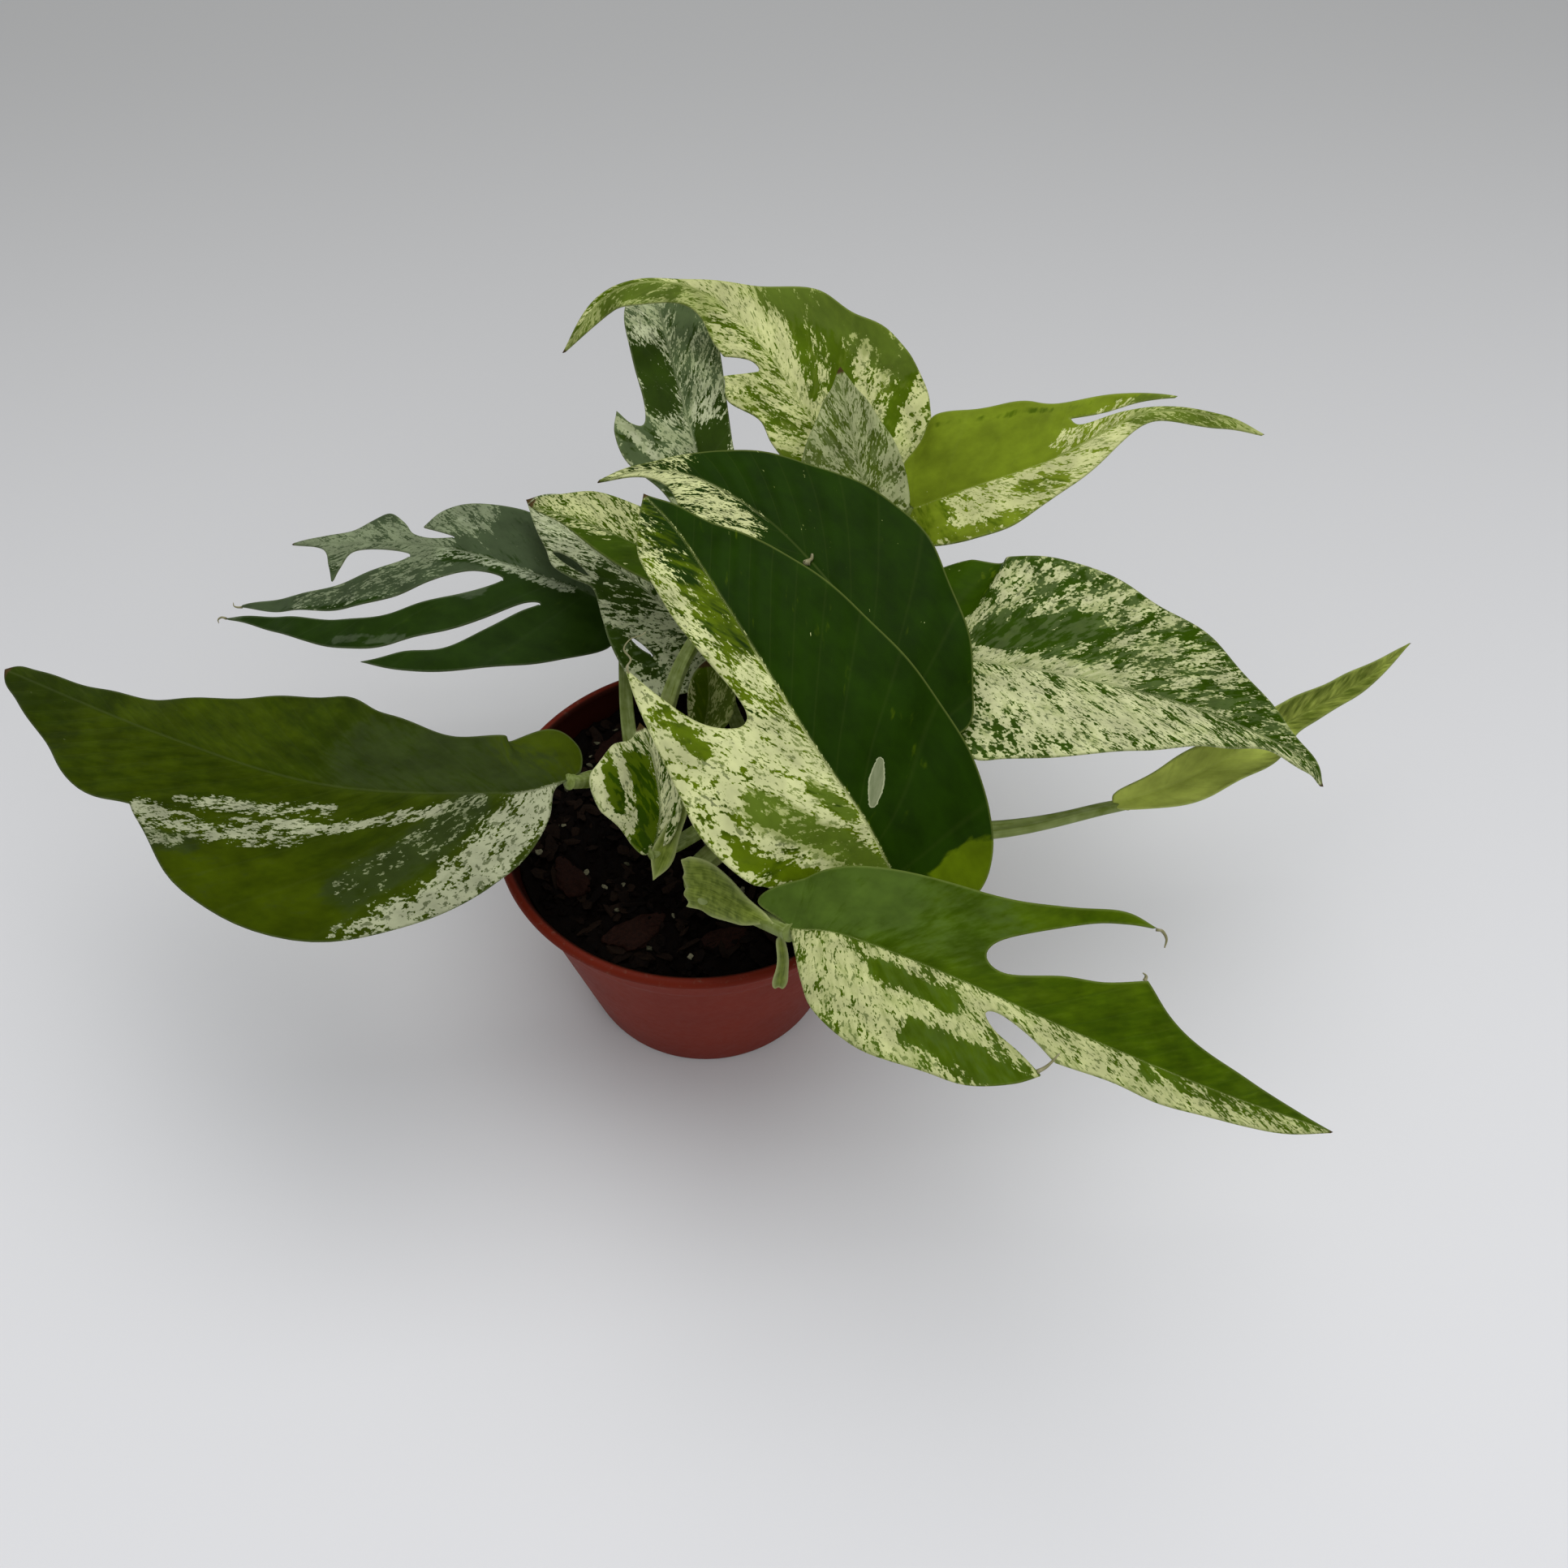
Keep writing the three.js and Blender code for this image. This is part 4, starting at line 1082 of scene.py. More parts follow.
def vein_start(
    x: Array, y: Array, rake: float, length: float
) -> tuple[Array, Array]:
    """Finds where on the midrib the side vein through each place starts.

    A vein that starts at s runs to x = s + slope(s) * |y|. Its slope rises from just under 0 at the
    leaf's base towards rake, as 1 - exp(-s / reach). Newton steps solve this for s.

    Args:
        x: places along the midrib.
        y: places to its left.
        rake: how far forward the veins near the tip run for each millimetre outwards.
        length: the length of the midrib.

    Returns:
        The start of each place's vein, and the vein's slope there.
    """
    away = np.abs(y)
    reach = 0.29 * length

    def slope(s: Array) -> Array:
        """Tells how far a vein runs forward for each millimetre outwards."""
        past = np.maximum(s + FIRST_VEIN, 0)
        return rake * (1 - np.exp(-past / reach)) - 0.35 + 0.02 * np.minimum(s + FIRST_VEIN, 0)

    start = x - 0.5 * away
    for _ in range(8):
        steep = rake / reach * np.exp(-np.maximum(start + FIRST_VEIN, 0) / reach)
        steep = np.where(start < -FIRST_VEIN, 0.02, steep)
        start = start - (start + slope(start) * away - x) / (1 + steep * away)
    return start, slope(start)


@dataclass
class BladePiece:
    """One finished blade: a sheet cut to its outline, quilted between its veins, with a rib under
    its midrib, and marbled. Its sizes are in millimetres; moved, in metres, is how far it went to
    meet its CAD node."""

    name: str
    shape: Blade
    marking: Marking
    finish: LeafFinish = field(default_factory=LeafFinish)
    pitch: float = 0.6
    thickness: float = 0.5
    rib_height: float = 0.9
    spine: Spine = field(init=False)
    moved: Array = field(init=False)

    def __post_init__(self) -> None:
        """Tabulates the midrib."""
        self.spine = Spine(self.shape.spine, self.shape.face)

    def surface(
        self, x: Array, y: Array, edge: Array
    ) -> tuple[Array, Array]:
        """Shapes the blade's two faces.

        Both follow low cushions between the side veins (a cosine of the vein's start) and a slow
        wave at the margin (a sine along the midrib). The lower face also has the midrib's rib,
        a bell curve across that tapers to the tip.

        Args:
            x: places along the midrib.
            y: places to its left.
            edge: their distances to the margin.

        Returns:
            Heights of the upper and of the lower face above the blade's middle.
        """
        start, _ = vein_start(x, y, self.marking.rake, self.spine.length)
        shape = self.shape
        inner = 1 - np.exp(-edge / 2.5)
        cushion = -np.cos(2 * np.pi * start / self.finish.vein_spacing_mm) * np.tanh(np.abs(y) / 4)
        uneven = lattice_noise(x + 200, y + 200, 13.0, len(self.name)) * np.tanh(np.abs(y) / 6)
        wave = np.sin(2 * np.pi * x / 23 + len(self.name))
        wave = wave * np.exp(-edge / 5) * np.tanh(np.abs(y) / 6)
        middle = inner * (shape.quilt_mm * cushion + 3.2 * shape.quilt_mm * uneven)
        middle = middle + shape.wave_mm * wave
        taper = np.clip(1 - x / self.spine.length, 0, 1)
        rib = np.exp(-((y / 0.75) ** 2)) * (0.15 + taper) * inner
        half = self.thickness / 2
        return middle + half - 0.3 * rib, middle - half - self.rib_height * rib

    def attributes(self, x: Array, y: Array, edge: Array) -> Values:
        """Works out what the leaf material reads, for the upper face.

        Args:
            x: places along the midrib.
            y: places to its left.
            edge: their distances to the margin.

        Returns:
            veins: the way across the veins, the way along them, and the start of the vein.
            flat: x, y and the distance to the margin.
            tint: the cream, lime and grey amounts.
            side: 0 for the upper face, how papery it is, and how dry towards the tip.
        """
        start, slope = vein_start(x, y, self.marking.rake, self.spine.length)
        stretch = np.sqrt(1 + slope**2)
        knots = np.linspace(-80, self.spine.length + 40, 400)
        knot_slope = np.interp(knots, np.sort(start), slope[np.argsort(start)])
        travelled = np.cumsum(1 / np.sqrt(1 + knot_slope**2)) * (knots[1] - knots[0])
        across = np.interp(start, knots, travelled)
        along = y * stretch + 300 * (y > 0)
        papery = self.marking.papery_spot(x, y)
        dry = smooth_step(self.spine.length - 4, self.spine.length, x) * (np.abs(y) < 4)
        return {
            "veins": np.stack([across, along, start], -1),
            "flat": np.stack([x, y, edge], -1),
            "tint": self.marking.tint(x, y),
            "side": np.stack([np.zeros_like(x), papery, dry], -1),
        }

    def place(self, x: Array, y: Array, height: Array) -> Array:
        """Takes flat places in millimetres to the blade's place in the frame, in metres."""
        return self.shape.bend(self.spine, x, y, height) * MM

    def build(self) -> Object:
        """Builds the blade, moves its middle to the middle of its CAD node, and dresses it.

        Returns:
            The piece.
        """
        sheet = cut_sheet(self.shape.loops(self.spine.length), self.pitch)
        x, y = sheet.points.T
        upper, lower = self.surface(x, y, sheet.edge)
        flat = self.place(x, y, np.zeros_like(x))
        low, high = (np.array(corner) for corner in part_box("leaf_" + self.name))
        middle = (low + high) / 2 + np.array(self.shape.shift) * MM
        self.moved = middle - (flat.min(0) + flat.max(0)) / 2
        vertices = np.vstack([self.place(x, y, upper), self.place(x, y, lower)]) + self.moved
        values = self.attributes(x, y, sheet.edge)
        below = {key: value.copy() for key, value in values.items()}
        below["side"][:, 0] = 1
        doubled = {key: np.vstack([values[key], below[key]]) for key in values}
        faces = sheet.closed_faces()
        piece = make_object("blade_" + self.name, vertices, faces, doubled)
        upper_faces = 2 * (len(sheet.squares) + len(sheet.corners))
        smooth = np.arange(len(faces)) < upper_faces
        piece.data.polygons.foreach_set("use_smooth", smooth)
        seed = 17.3 * (1 + sorted(LEAVES).index(self.name))
        skin = self.finish.material("leaf_skin_" + self.name, self.marking.palette, seed)
        return claim(piece, skin, "leaf_green", "leaf_" + self.name)


# ---- Stalks and stems ----
@dataclass(frozen=True)
class Stalk:
    """A leaf stalk: its path from the stem to the blade, and its radius at each end, in
    millimetres. Its sheath runs up it as two thin wings, to this share of its length. It reaches
    onward under the blade's base."""

    path: tuple[Point3, ...]
    radius: Point2
    sheath: float = 0.55
    onward: float = 2.0


def swept_rings(
    path: Array, reach: Callable[[Array, Array], Array], sides: int, up: Point3
) -> Array:
    """Carries a section along a path. Each ring stands square to the path, its first point towards
    up, and its radius at each angle is reach(way along, angle).

    Args:
        path: the middle line, one point a row.
        reach: gives radii for a column of ways along, 0 to 1, and a row of angles.
        sides: how many points a ring has.
        up: the direction in which angle 0 lies, as far as the path allows.

    Returns:
        Rings by points by three, in the path's unit.
    """
    along = unit(np.gradient(path, axis=0))
    wanted = np.array(up, float)
    first = unit(wanted - along * (along @ wanted)[:, None])
    second = np.cross(along, first)
    t = np.linspace(0, 1, len(path))[:, None]
    angle = np.linspace(0, 2 * np.pi, sides, endpoint=False)[None, :]
    radius = reach(t, angle)[..., None]
    turn = angle[..., None]
    spoke = first[:, None, :] * np.cos(turn) + second[:, None, :] * np.sin(turn)
    return path[:, None, :] + radius * spoke


def skin_values(rings: Array, length: float, girth: float, dry: Array) -> Values:
    """Works out what StalkFinish reads on a swept piece.

    Args:
        rings: the piece's rings, by points by three.
        length: how far the skin's pattern runs along the piece, in millimetres.
        girth: how far it runs to either side round the piece, in millimetres.
        dry: how dry each ring is, 0 to 1.

    Returns:
        along: the way along, the way round and the dryness.
    """
    rows, columns = rings.shape[:2]
    travelled = np.linspace(0, length, rows)[:, None] + np.zeros(columns)
    way_round = np.sin(np.linspace(0, 2 * np.pi, columns))[None, :] * girth + np.zeros((rows, 1))
    return {"along": np.stack([travelled, way_round, dry[:, None] + np.zeros(columns)], -1)}


@dataclass(frozen=True)
class StalkPiece:
    """One finished leaf stalk: grooved along the top, with sheath wings below and a swollen joint
    under the blade."""

    name: str
    shape: Stalk
    sides: int = 40

    def reach(self, t: Array, angle: Array) -> Array:
        """Gives the stalk's radius: it thins upwards, swells as a bell curve at the joint and at
        its foot, dips in a groove at angle 0, and stands out in two wings beside the groove.

        Args:
            t: a column of ways along, 0 to 1.
            angle: a row of angles.

        Returns:
            The radius at each, in millimetres.
        """
        start, end = self.shape.radius
        round_part = start + (end - start) * t
        round_part = round_part + 0.35 * np.exp(-(((t - 0.95) / 0.05) ** 2))
        round_part = round_part + 0.5 * np.exp(-((t / 0.12) ** 2))
        turned = np.angle(np.exp(1j * angle))
        below = smooth_step(self.shape.sheath + 0.12, self.shape.sheath - 0.05, t)
        groove = -0.22 * np.exp(-((turned / 0.42) ** 2)) * (1 - np.exp(-(((t - 1) / 0.08) ** 2)))
        left, right = (np.exp(-(((turned - place) / 0.17) ** 2)) for place in (0.75, -0.75))
        wings = 0.42 * (left + right)
        taper = 1 - 0.4 * smooth_step(0.93, 1.0, t)
        return round_part * taper * (1 + groove + wings * below)

    def build(self, material: Material) -> Object:
        """Builds the stalk and dresses it.

        Args:
            material: its skin.

        Returns:
            The piece.
        """
        points = np.array(self.shape.path, float)
        onward = unit(points[-1] - points[-2]) * self.shape.onward
        path = smooth_curve(np.vstack([points, points[-1] + onward]), 16)
        rings = swept_rings(path, self.reach, self.sides, (0.05, 0.1, 1)) * MM
        dry = 0.5 * np.exp(-((np.linspace(0, 1, len(path)) / 0.1) ** 2))
        piece = ring_piece("stalk_piece_" + self.name, rings, skin_values(rings, 60, 2, dry))
        return claim(piece, material, "stem_green", "stalk_" + self.name)


@dataclass(frozen=True)
class SheathPiece:
    """A thin leafy flap of a stalk, made as a small plain blade. Its sizes are in millimetres."""

    name: str
    shape: Blade
    pitch: float = 0.45
    thickness: float = 0.35

    def build(self, material: Material) -> Object:
        """Builds the flap and dresses it.

        Args:
            material: its skin.

        Returns:
            The piece.
        """
        spine = Spine(self.shape.spine, self.shape.face)
        sheet = cut_sheet(self.shape.loops(spine.length), self.pitch)
        x, y = sheet.points.T
        frill = 0.3 * np.sin(x / 2.6 + y / 2) * np.exp(-sheet.edge / 1.5)
        height = frill + 0.3 * lattice_noise(x + 50, y + 50, 6.0, 1)
        half = self.thickness / 2
        faces = [self.shape.bend(spine, x, y, height + side * half) for side in (1, -1)]
        dry = 0.9 * np.exp(-sheet.edge / 0.5)
        value = np.stack([x, y, dry], -1)
        values = {"along": np.vstack([value, value])}
        vertices = np.vstack(faces) * MM
        piece = make_object("sheath_" + self.name, vertices, sheet.closed_faces(), values)
        return claim(piece, material, "stem_green")


@dataclass(frozen=True)
class StemPiece:
    """One finished stem, in millimetres: a stout green shoot with a ring at each joint."""

    name: str
    path: tuple[Point3, ...]
    joints: float = 3.0
    sides: int = 36

    def from_joint(self, t: Array) -> Array:
        """Tells how far each way along, 0 to 1, is from the nearest joint, in joint spacings."""
        return np.abs((t * self.joints + 0.4) % 1 - 0.5)

    def reach(self, t: Array, angle: Array) -> Array:
        """Gives the stem's radius: it thins upwards and swells in a narrow bell at each joint.

        Args:
            t: a column of ways along, 0 to 1.
            angle: a row of angles.

        Returns:
            The radius at each, in millimetres.
        """
        swell = 0.4 * np.exp(-((self.from_joint(t) / 0.07) ** 2))
        closing = np.sqrt(np.clip((1.002 - t) / 0.08, 0, 1))
        uneven = 0.12 * np.sin(2 * angle + 4 * t) + 0.06 * np.sin(5 * angle)
        return (3.4 - 0.9 * t + swell + uneven) * closing

    def build(self, material: Material) -> Object:
        """Builds the stem and dresses it.

        Args:
            material: its skin.

        Returns:
            The piece.
        """
        path = smooth_curve(np.array(self.path, float), 20)
        rings = swept_rings(path, self.reach, self.sides, (0, -1, 0.1)) * MM
        dry = 0.7 * np.exp(-((self.from_joint(np.linspace(0, 1, len(path))) / 0.06) ** 2))
        piece = ring_piece("stem_piece_" + self.name, rings, skin_values(rings, 40, 3, dry))
        return claim(piece, material, "stem_green", "stem_" + self.name)


# ---- Pot ----
@dataclass(frozen=True)
class Pot:
    """The moulded nursery pot, in millimetres."""

    rim_radius: float = 53.0
    base_radius: float = 34.5
    height: float = 69.0
    wall: float = 1.2
    collar_height: float = 12.0
    collar_step: float = 0.7
    rim_roll: float = 1.5
    channel: Point2 = (12.0, 27.0)
    channel_rise: float = 2.5
    hole_radius: float = 3.2
    holes: int = 6
    sides: int = 160
    base_sides: int = 120
    base_pitch: float = 0.8
    finish: PotFinish = field(default_factory=PotFinish)

    def wall_radius(self, z: float | Array) -> float | Array:
        """Gives the outer radius of the tapered wall at a height."""
        top = self.rim_radius - self.rim_roll - self.collar_step
        return self.base_radius + (top - self.base_radius) * z / self.height

    def wall_profile(self) -> Array:
        """Draws the wall's closed section, from its outer foot over the rolled rim to its inner
        foot. Sharp turns are eased by cutting each corner twice (Chaikin's rule).

        Returns:
            Points as (radius, height), one a row.
        """
        collar = self.height - self.collar_height
        top = self.height - self.rim_roll
        roll = np.radians(np.linspace(-60, 180, 14))
        rim = np.stack([
            self.rim_radius - self.rim_roll + self.rim_roll * np.cos(roll),
            top + self.rim_roll * np.sin(roll),
        ], -1)
        outside = [
            (self.base_radius - 3.0, 0.0),
            (self.base_radius - 0.6, 0.0),
            (self.base_radius + 0.1, 0.8),
            (self.wall_radius(6), 6),
            (self.wall_radius(collar - 6), collar - 6),
            (self.wall_radius(collar - 1), collar - 1),
            (self.wall_radius(collar) + self.collar_step, collar),
            (self.wall_radius(collar + 4) + self.collar_step, collar + 4),
            (self.wall_radius(top - 2) + self.collar_step, top - 2),
        ]
        inside = [
            (self.wall_radius(collar + 4) + self.collar_step - self.wall, collar + 4),
            (self.wall_radius(collar) + self.collar_step - self.wall, collar),
            (self.wall_radius(collar - 1) - self.wall, collar - 1),
            (self.wall_radius(6) - self.wall, 6),
            (self.wall_radius(self.wall) - self.wall, self.wall),
            (self.base_radius - 3.0, self.wall),
        ]
        profile = np.vstack([outside, rim, inside])
        for _ in range(2):
            after = np.roll(profile, -1, 0)
            cut = [0.82 * profile + 0.18 * after, 0.18 * profile + 0.82 * after]
            profile = np.stack(cut, 1).reshape(-1, 2)
        return profile

    def build_wall(self, material: Material) -> Object:
        """Turns the wall's section round the pot's axis.

        Args:
            material: the pot's plastic.

        Returns:
            The piece.
        """
        profile = self.wall_profile()
        angle = np.linspace(0, 2 * np.pi, self.sides, endpoint=False)[None, :]
        radius, height = profile[:, :1], profile[:, 1:]
        rings = np.stack([radius * np.cos(angle), radius * np.sin(angle), height + 0 * angle], -1)
        collar = height > self.height - self.collar_height
        side = self.wall_radius(height) + self.collar_step * collar
        inner = smooth_step(-0.1, -0.9, radius - side) + 0 * angle
        piece = ring_piece("pot_wall", rings * MM, {"inner": inner}, closed_rows=True)
        return claim(piece, material, "pot_plastic", "pot")

    def base_height(self, x: Array, y: Array) -> Array:
        """Measures how far the base stands up: the channel's rise between its two radii.

        Args:
            x: places across the pot, from its axis.
            y: places along it.

        Returns:
            The height of the base's underside at each place.
        """
        radius = np.hypot(x, y)
        inner, outer = self.channel
        start, end = smooth_step(inner, inner + 1, radius), smooth_step(outer, outer - 1, radius)
        return self.channel_rise * start * end

    def build_base(self, material: Material) -> Object:
        """Cuts the base from a disc with a ring of drain holes, and raises its channel.

        Args:
            material: the pot's plastic.

        Returns:
            The piece.
        """
        turn = np.linspace(0, 2 * np.pi, self.base_sides, endpoint=False)
        rim = (self.base_radius - 2.4) * np.stack([np.cos(turn), np.sin(turn)], -1)
        middle = sum(self.channel) / 2
        small = self.hole_radius * np.stack([np.cos(turn[::4]), np.sin(turn[::4])], -1)
        turns = 2 * np.pi * np.arange(self.holes) / self.holes
        centres = [middle * np.array([math.cos(a), math.sin(a)]) for a in turns]
        sheet = cut_sheet([rim, *(small + centre for centre in centres)], self.base_pitch)
        x, y = sheet.points.T
        low = self.base_height(x, y)
        faces = [np.stack([x, y, low + lift], -1) for lift in (self.wall, 0.0)]
        piece = make_object("pot_base", np.vstack(faces) * MM, sheet.closed_faces())
        return claim(piece, material, "pot_plastic")

    def build(self) -> None:
        """Builds the pot's wall and base in one material."""
        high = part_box("pot")[1].z
        material = self.finish.material("polypropylene_moulded_terracotta", high)
        self.build_wall(material)
        self.build_base(material)
        log.info("pot: wall and base")


# ---- Potting mix ----
def soil_height(x: Array, y: Array) -> Array:
    """Gives the mix's level in millimetres: low lumps, as sines, on a slight mound."""
    lumps = np.sin(x / 6.1 + 0.7) * np.cos(y / 7.3 - 0.4) + 0.5 * np.sin((x + y) / 3.9)
    return 61.5 + 1.2 * np.exp(-(x**2 + y**2) / 600) + 0.77 * lumps


@dataclass(frozen=True)
class PottingMix:
    """The damp mix: a granular surface with loose crumbs of bark, peat and perlite on it."""

    crumbs: int = 900
    chips: int = 420
    perlite: int = 70
    radius: float = 48.3
    underside: float = 46.0
    rings: int = 150
    sides: int = 330
    crumb_sides: int = 7

    def surface(self) -> Object:
        """Builds the mix as rings from the middle out, down the pot's wall and in again. Its top is
        the mix's level plus noise of three grain sizes.

        Returns:
            The piece.
        """
        outwards = np.linspace(0.2, self.radius, self.rings)
        radius = np.concatenate([outwards, [self.radius - 3, 1.0]])[:, None]
        angle = np.linspace(0, 2 * np.pi, self.sides, endpoint=False)[None, :]
        x, y = radius * np.cos(angle), radius * np.sin(angle)
        coarse, middling, fine = (
            height * lattice_noise(x + 100, y + 100, cell, seed)
            for height, cell, seed in ((1.1, 4.0, 1), (0.7, 1.8, 2), (0.35, 0.8, 3))
        )
        z = soil_height(x, y) + (coarse + middling + fine)
        z[-2:] = self.underside
        rings = np.stack([x, y, z], -1)[::-1] * MM
        piece = ring_piece("mix_surface", rings, {"tone": np.full(rings.shape[:2], 0.75)})
        return claim(piece, MIX_FINISH.material("potting_mix_damp_painted_shade"), "potting_mix", "soil")

    def crumb(self) -> tuple[Array, Array]:
        """Makes one crumb before it is stretched: a ball of two rings and two poles, with a radius
        of about 1.

        Returns:
            Its points, and its three-cornered faces as their points' numbers.
        """
        sides = self.crumb_sides
        turn = np.linspace(0, 2 * np.pi, sides, endpoint=False)
        low, high = (
            np.stack([np.cos(turn + s), np.sin(turn + s), 0 * turn + h], -1)
            for s, h in ((0, -0.4), (0.4, 0.45))
        )
        points = np.vstack([low, high, [(0, 0, -0.9), (0, 0, 0.9)]])
        around, after = np.arange(sides), (np.arange(sides) + 1) % sides
        foot, top = np.full(sides, 2 * sides), np.full(sides, 2 * sides + 1)
        faces = np.vstack([
            np.stack([around, after, around + sides], -1),
            np.stack([after, after + sides, around + sides], -1),
            np.stack([foot, after, around], -1),
            np.stack([top, around + sides, after + sides], -1),
        ])
        return points, faces

    def scatter(
        self, name: str, count: int, size: tuple[Point2, Point2, Point2], lift: float, seed: int
    ) -> Object:
        """Scatters crumbs on the mix as one mesh of separate closed lumps.

        Each is stretched to its own size, roughened, tipped and turned at random, and set at the
        mix's level.

        Args:
            name: the piece's name.
            count: how many crumbs.
            size: the least and most length, width and thickness, in millimetres.
            lift: how far a crumb's middle stands above the mix, in its own thicknesses.
            seed: picks the random draws.

        Returns:
            The piece.
        """
        random = np.random.default_rng(seed)
        ball, faces = self.crumb()
        extent = np.stack([random.uniform(a, b, count) for a, b in size], -1) / 2
        rough = random.uniform(0.72, 1.28, (count, len(ball), 1))
        lumps = ball[None] * extent[:, None, :] * rough
        tip = random.normal(0, 0.3, (count, 2))
        lumps[..., 2] += lumps[..., 0] * np.sin(tip[:, :1]) + lumps[..., 1] * np.sin(tip[:, 1:])
        yaw = random.uniform(0, 2 * np.pi, count)[:, None]
        x = lumps[..., 0] * np.cos(yaw) - lumps[..., 1] * np.sin(yaw)
        y = lumps[..., 0] * np.sin(yaw) + lumps[..., 1] * np.cos(yaw)
        room = self.radius - 1.0 - extent[:, 0]
        distance = room * np.sqrt(random.uniform(0, 1, count))
        bearing = random.uniform(0, 2 * np.pi, count)
        middle = np.stack([distance * np.cos(bearing), distance * np.sin(bearing)], -1)
        level = soil_height(*middle.T) + 0.5 + lift * extent[:, 2]
        z = lumps[..., 2] + level[:, None]
        vertices = np.stack([x + middle[:, :1], y + middle[:, 1:], z], -1)
        every = (faces[None] + len(ball) * np.arange(count)[:, None, None]).reshape(-1, 3)
        tone = np.repeat(random.uniform(0.35, 1.3, count), len(ball))
        piece = make_object(name, vertices.reshape(-1, 3) * MM, every.tolist(), {"tone": tone})
        piece.data.polygons.foreach_set("use_smooth", np.zeros(len(every), bool))
        return piece

    def build(self) -> None:
        """Builds the mix, its crumbs, its bark chips and its perlite."""
        self.surface()
        crumbs = ((0.8, 2.6), (0.7, 1.8), (0.6, 1.4))
        piece = self.scatter("mix_crumbs", self.crumbs, crumbs, 0.3, 11)
        claim(piece, MIX_FINISH.material("peat_crumbs_damp_painted_shade"), "potting_mix")
        chips = ((2.2, 7.0), (1.2, 3.4), (0.7, 1.5))
        piece = self.scatter("bark_chips", self.chips, chips, 0.5, 12)
        claim(piece, CHIP_FINISH.material("bark_chips_composted_painted_shade"), "bark")
        grains = ((0.8, 2.2), (0.8, 1.8), (0.6, 1.3))
        piece = self.scatter("perlite_grains", self.perlite, grains, 0.9, 13)
        claim(piece, PERLITE_FINISH.material("perlite_expanded"), "potting_mix")
        log.info("potting mix: surface, crumbs, chips and perlite")


@dataclass(frozen=True)
class BarkFlake:
    """One large bark flake, with a torn outline and ridges along its grain. turn is how far its
    grain is turned, in radians."""

    name: str
    turn: float
    rings: int = 26
    sides: int = 60

    def build(self, material: Material) -> Object:
        """Builds the flake to fill its CAD node's box.

        It is a rounded slab, rings from its lower to its upper pole: radius is the fourth root of
        1 - v^4 of the way up v, times a torn outline, and its top has ridges as noise stretched
        along the grain.

        Args:
            material: its bark.

        Returns:
            The piece.
        """
        low, high = (np.array(corner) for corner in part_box("bark_" + self.name))
        way = np.linspace(-0.985, 0.985, self.rings)[:, None]
        angle = np.linspace(0, 2 * np.pi, self.sides, endpoint=False)[None, :]
        seed = sum(map(ord, self.name))
        ragged = 0.09 * lattice_noise(angle * 3, way + 4, 0.7, seed)
        torn = 1 + 0.12 * np.sin(3 * angle + self.turn) + ragged
        spread = (1 - way**4) ** 0.25 * torn
        x, y = 0.5 * spread * np.cos(angle), 0.5 * spread * np.sin(angle)
        ridge = lattice_noise(x * 4 + 9, y * 22 + 9, 0.9, seed + 1) * 0.16
        ridge = ridge + lattice_noise(x * 9 + 9, y * 40 + 9, 0.9, seed + 2) * 0.08
        z = 0.5 * way + ridge * (0.4 + 0.6 * (way > 0))
        c, s = math.cos(self.turn), math.sin(self.turn)
        rings = np.stack([x * c - 0.55 * y * s, x * s + 0.55 * y * c, z], -1)
        flat = rings.reshape(-1, 3)
        fit = (high - low) / (flat.max(0) - flat.min(0))
        rings = (rings - (flat.max(0) + flat.min(0)) / 2) * fit + (low + high) / 2
        piece = ring_piece("flake_" + self.name, rings, {"tone": np.full(rings.shape[:2], 0.8)})
        return claim(piece, material, "bark", "bark_" + self.name)


# ---- Small dried bits ----
@dataclass(frozen=True)
class DriedThread:
    """A dried, curled thread of leaf tissue, which grows from a place on a blade.

    at is that place on the flat blade, and steps go on from it: rightwards and upwards as the
    plant's front is seen from above, all in millimetres."""

    blade: str
    at: Point2
    steps: tuple[Point2, ...]
    radius: float = 0.3

    def reach(self, t: Array, angle: Array) -> Array:
        """Gives the thread's radius: flattened, and thinning to its end."""
        return self.radius * (1.05 - 0.75 * t) * (1 + 0.45 * np.cos(2 * angle))

    def build(self, name: str, blade: BladePiece, material: Material) -> Object:
        """Builds the thread on its blade and dresses it.

        Args:
            name: the thread's name.
            blade: the blade it grows from, already built.
            material: its dried skin.

        Returns:
            The piece.
        """
        start = blade.place(*(np.array([value]) for value in (*self.at, 0.0)))[0] + blade.moved
        rightwards, upwards = np.array([1.0, -0.08, 0.0]), np.array([0.06, 0.77, 0.63])
        places = [start / MM + a * rightwards + b * upwards for a, b in ((0, 0), *self.steps)]
        path = smooth_curve(np.array(places), 10)
        rings = swept_rings(path, self.reach, 10, (0.2, -0.6, 0.75)) * MM
        values = np.full(rings.shape, 0.5)
        values[..., 0] = np.linspace(0, 20, len(path))[:, None]
        piece = ring_piece("thread_" + name, rings, {"along": values})
        return claim(piece, material, "stem_green")


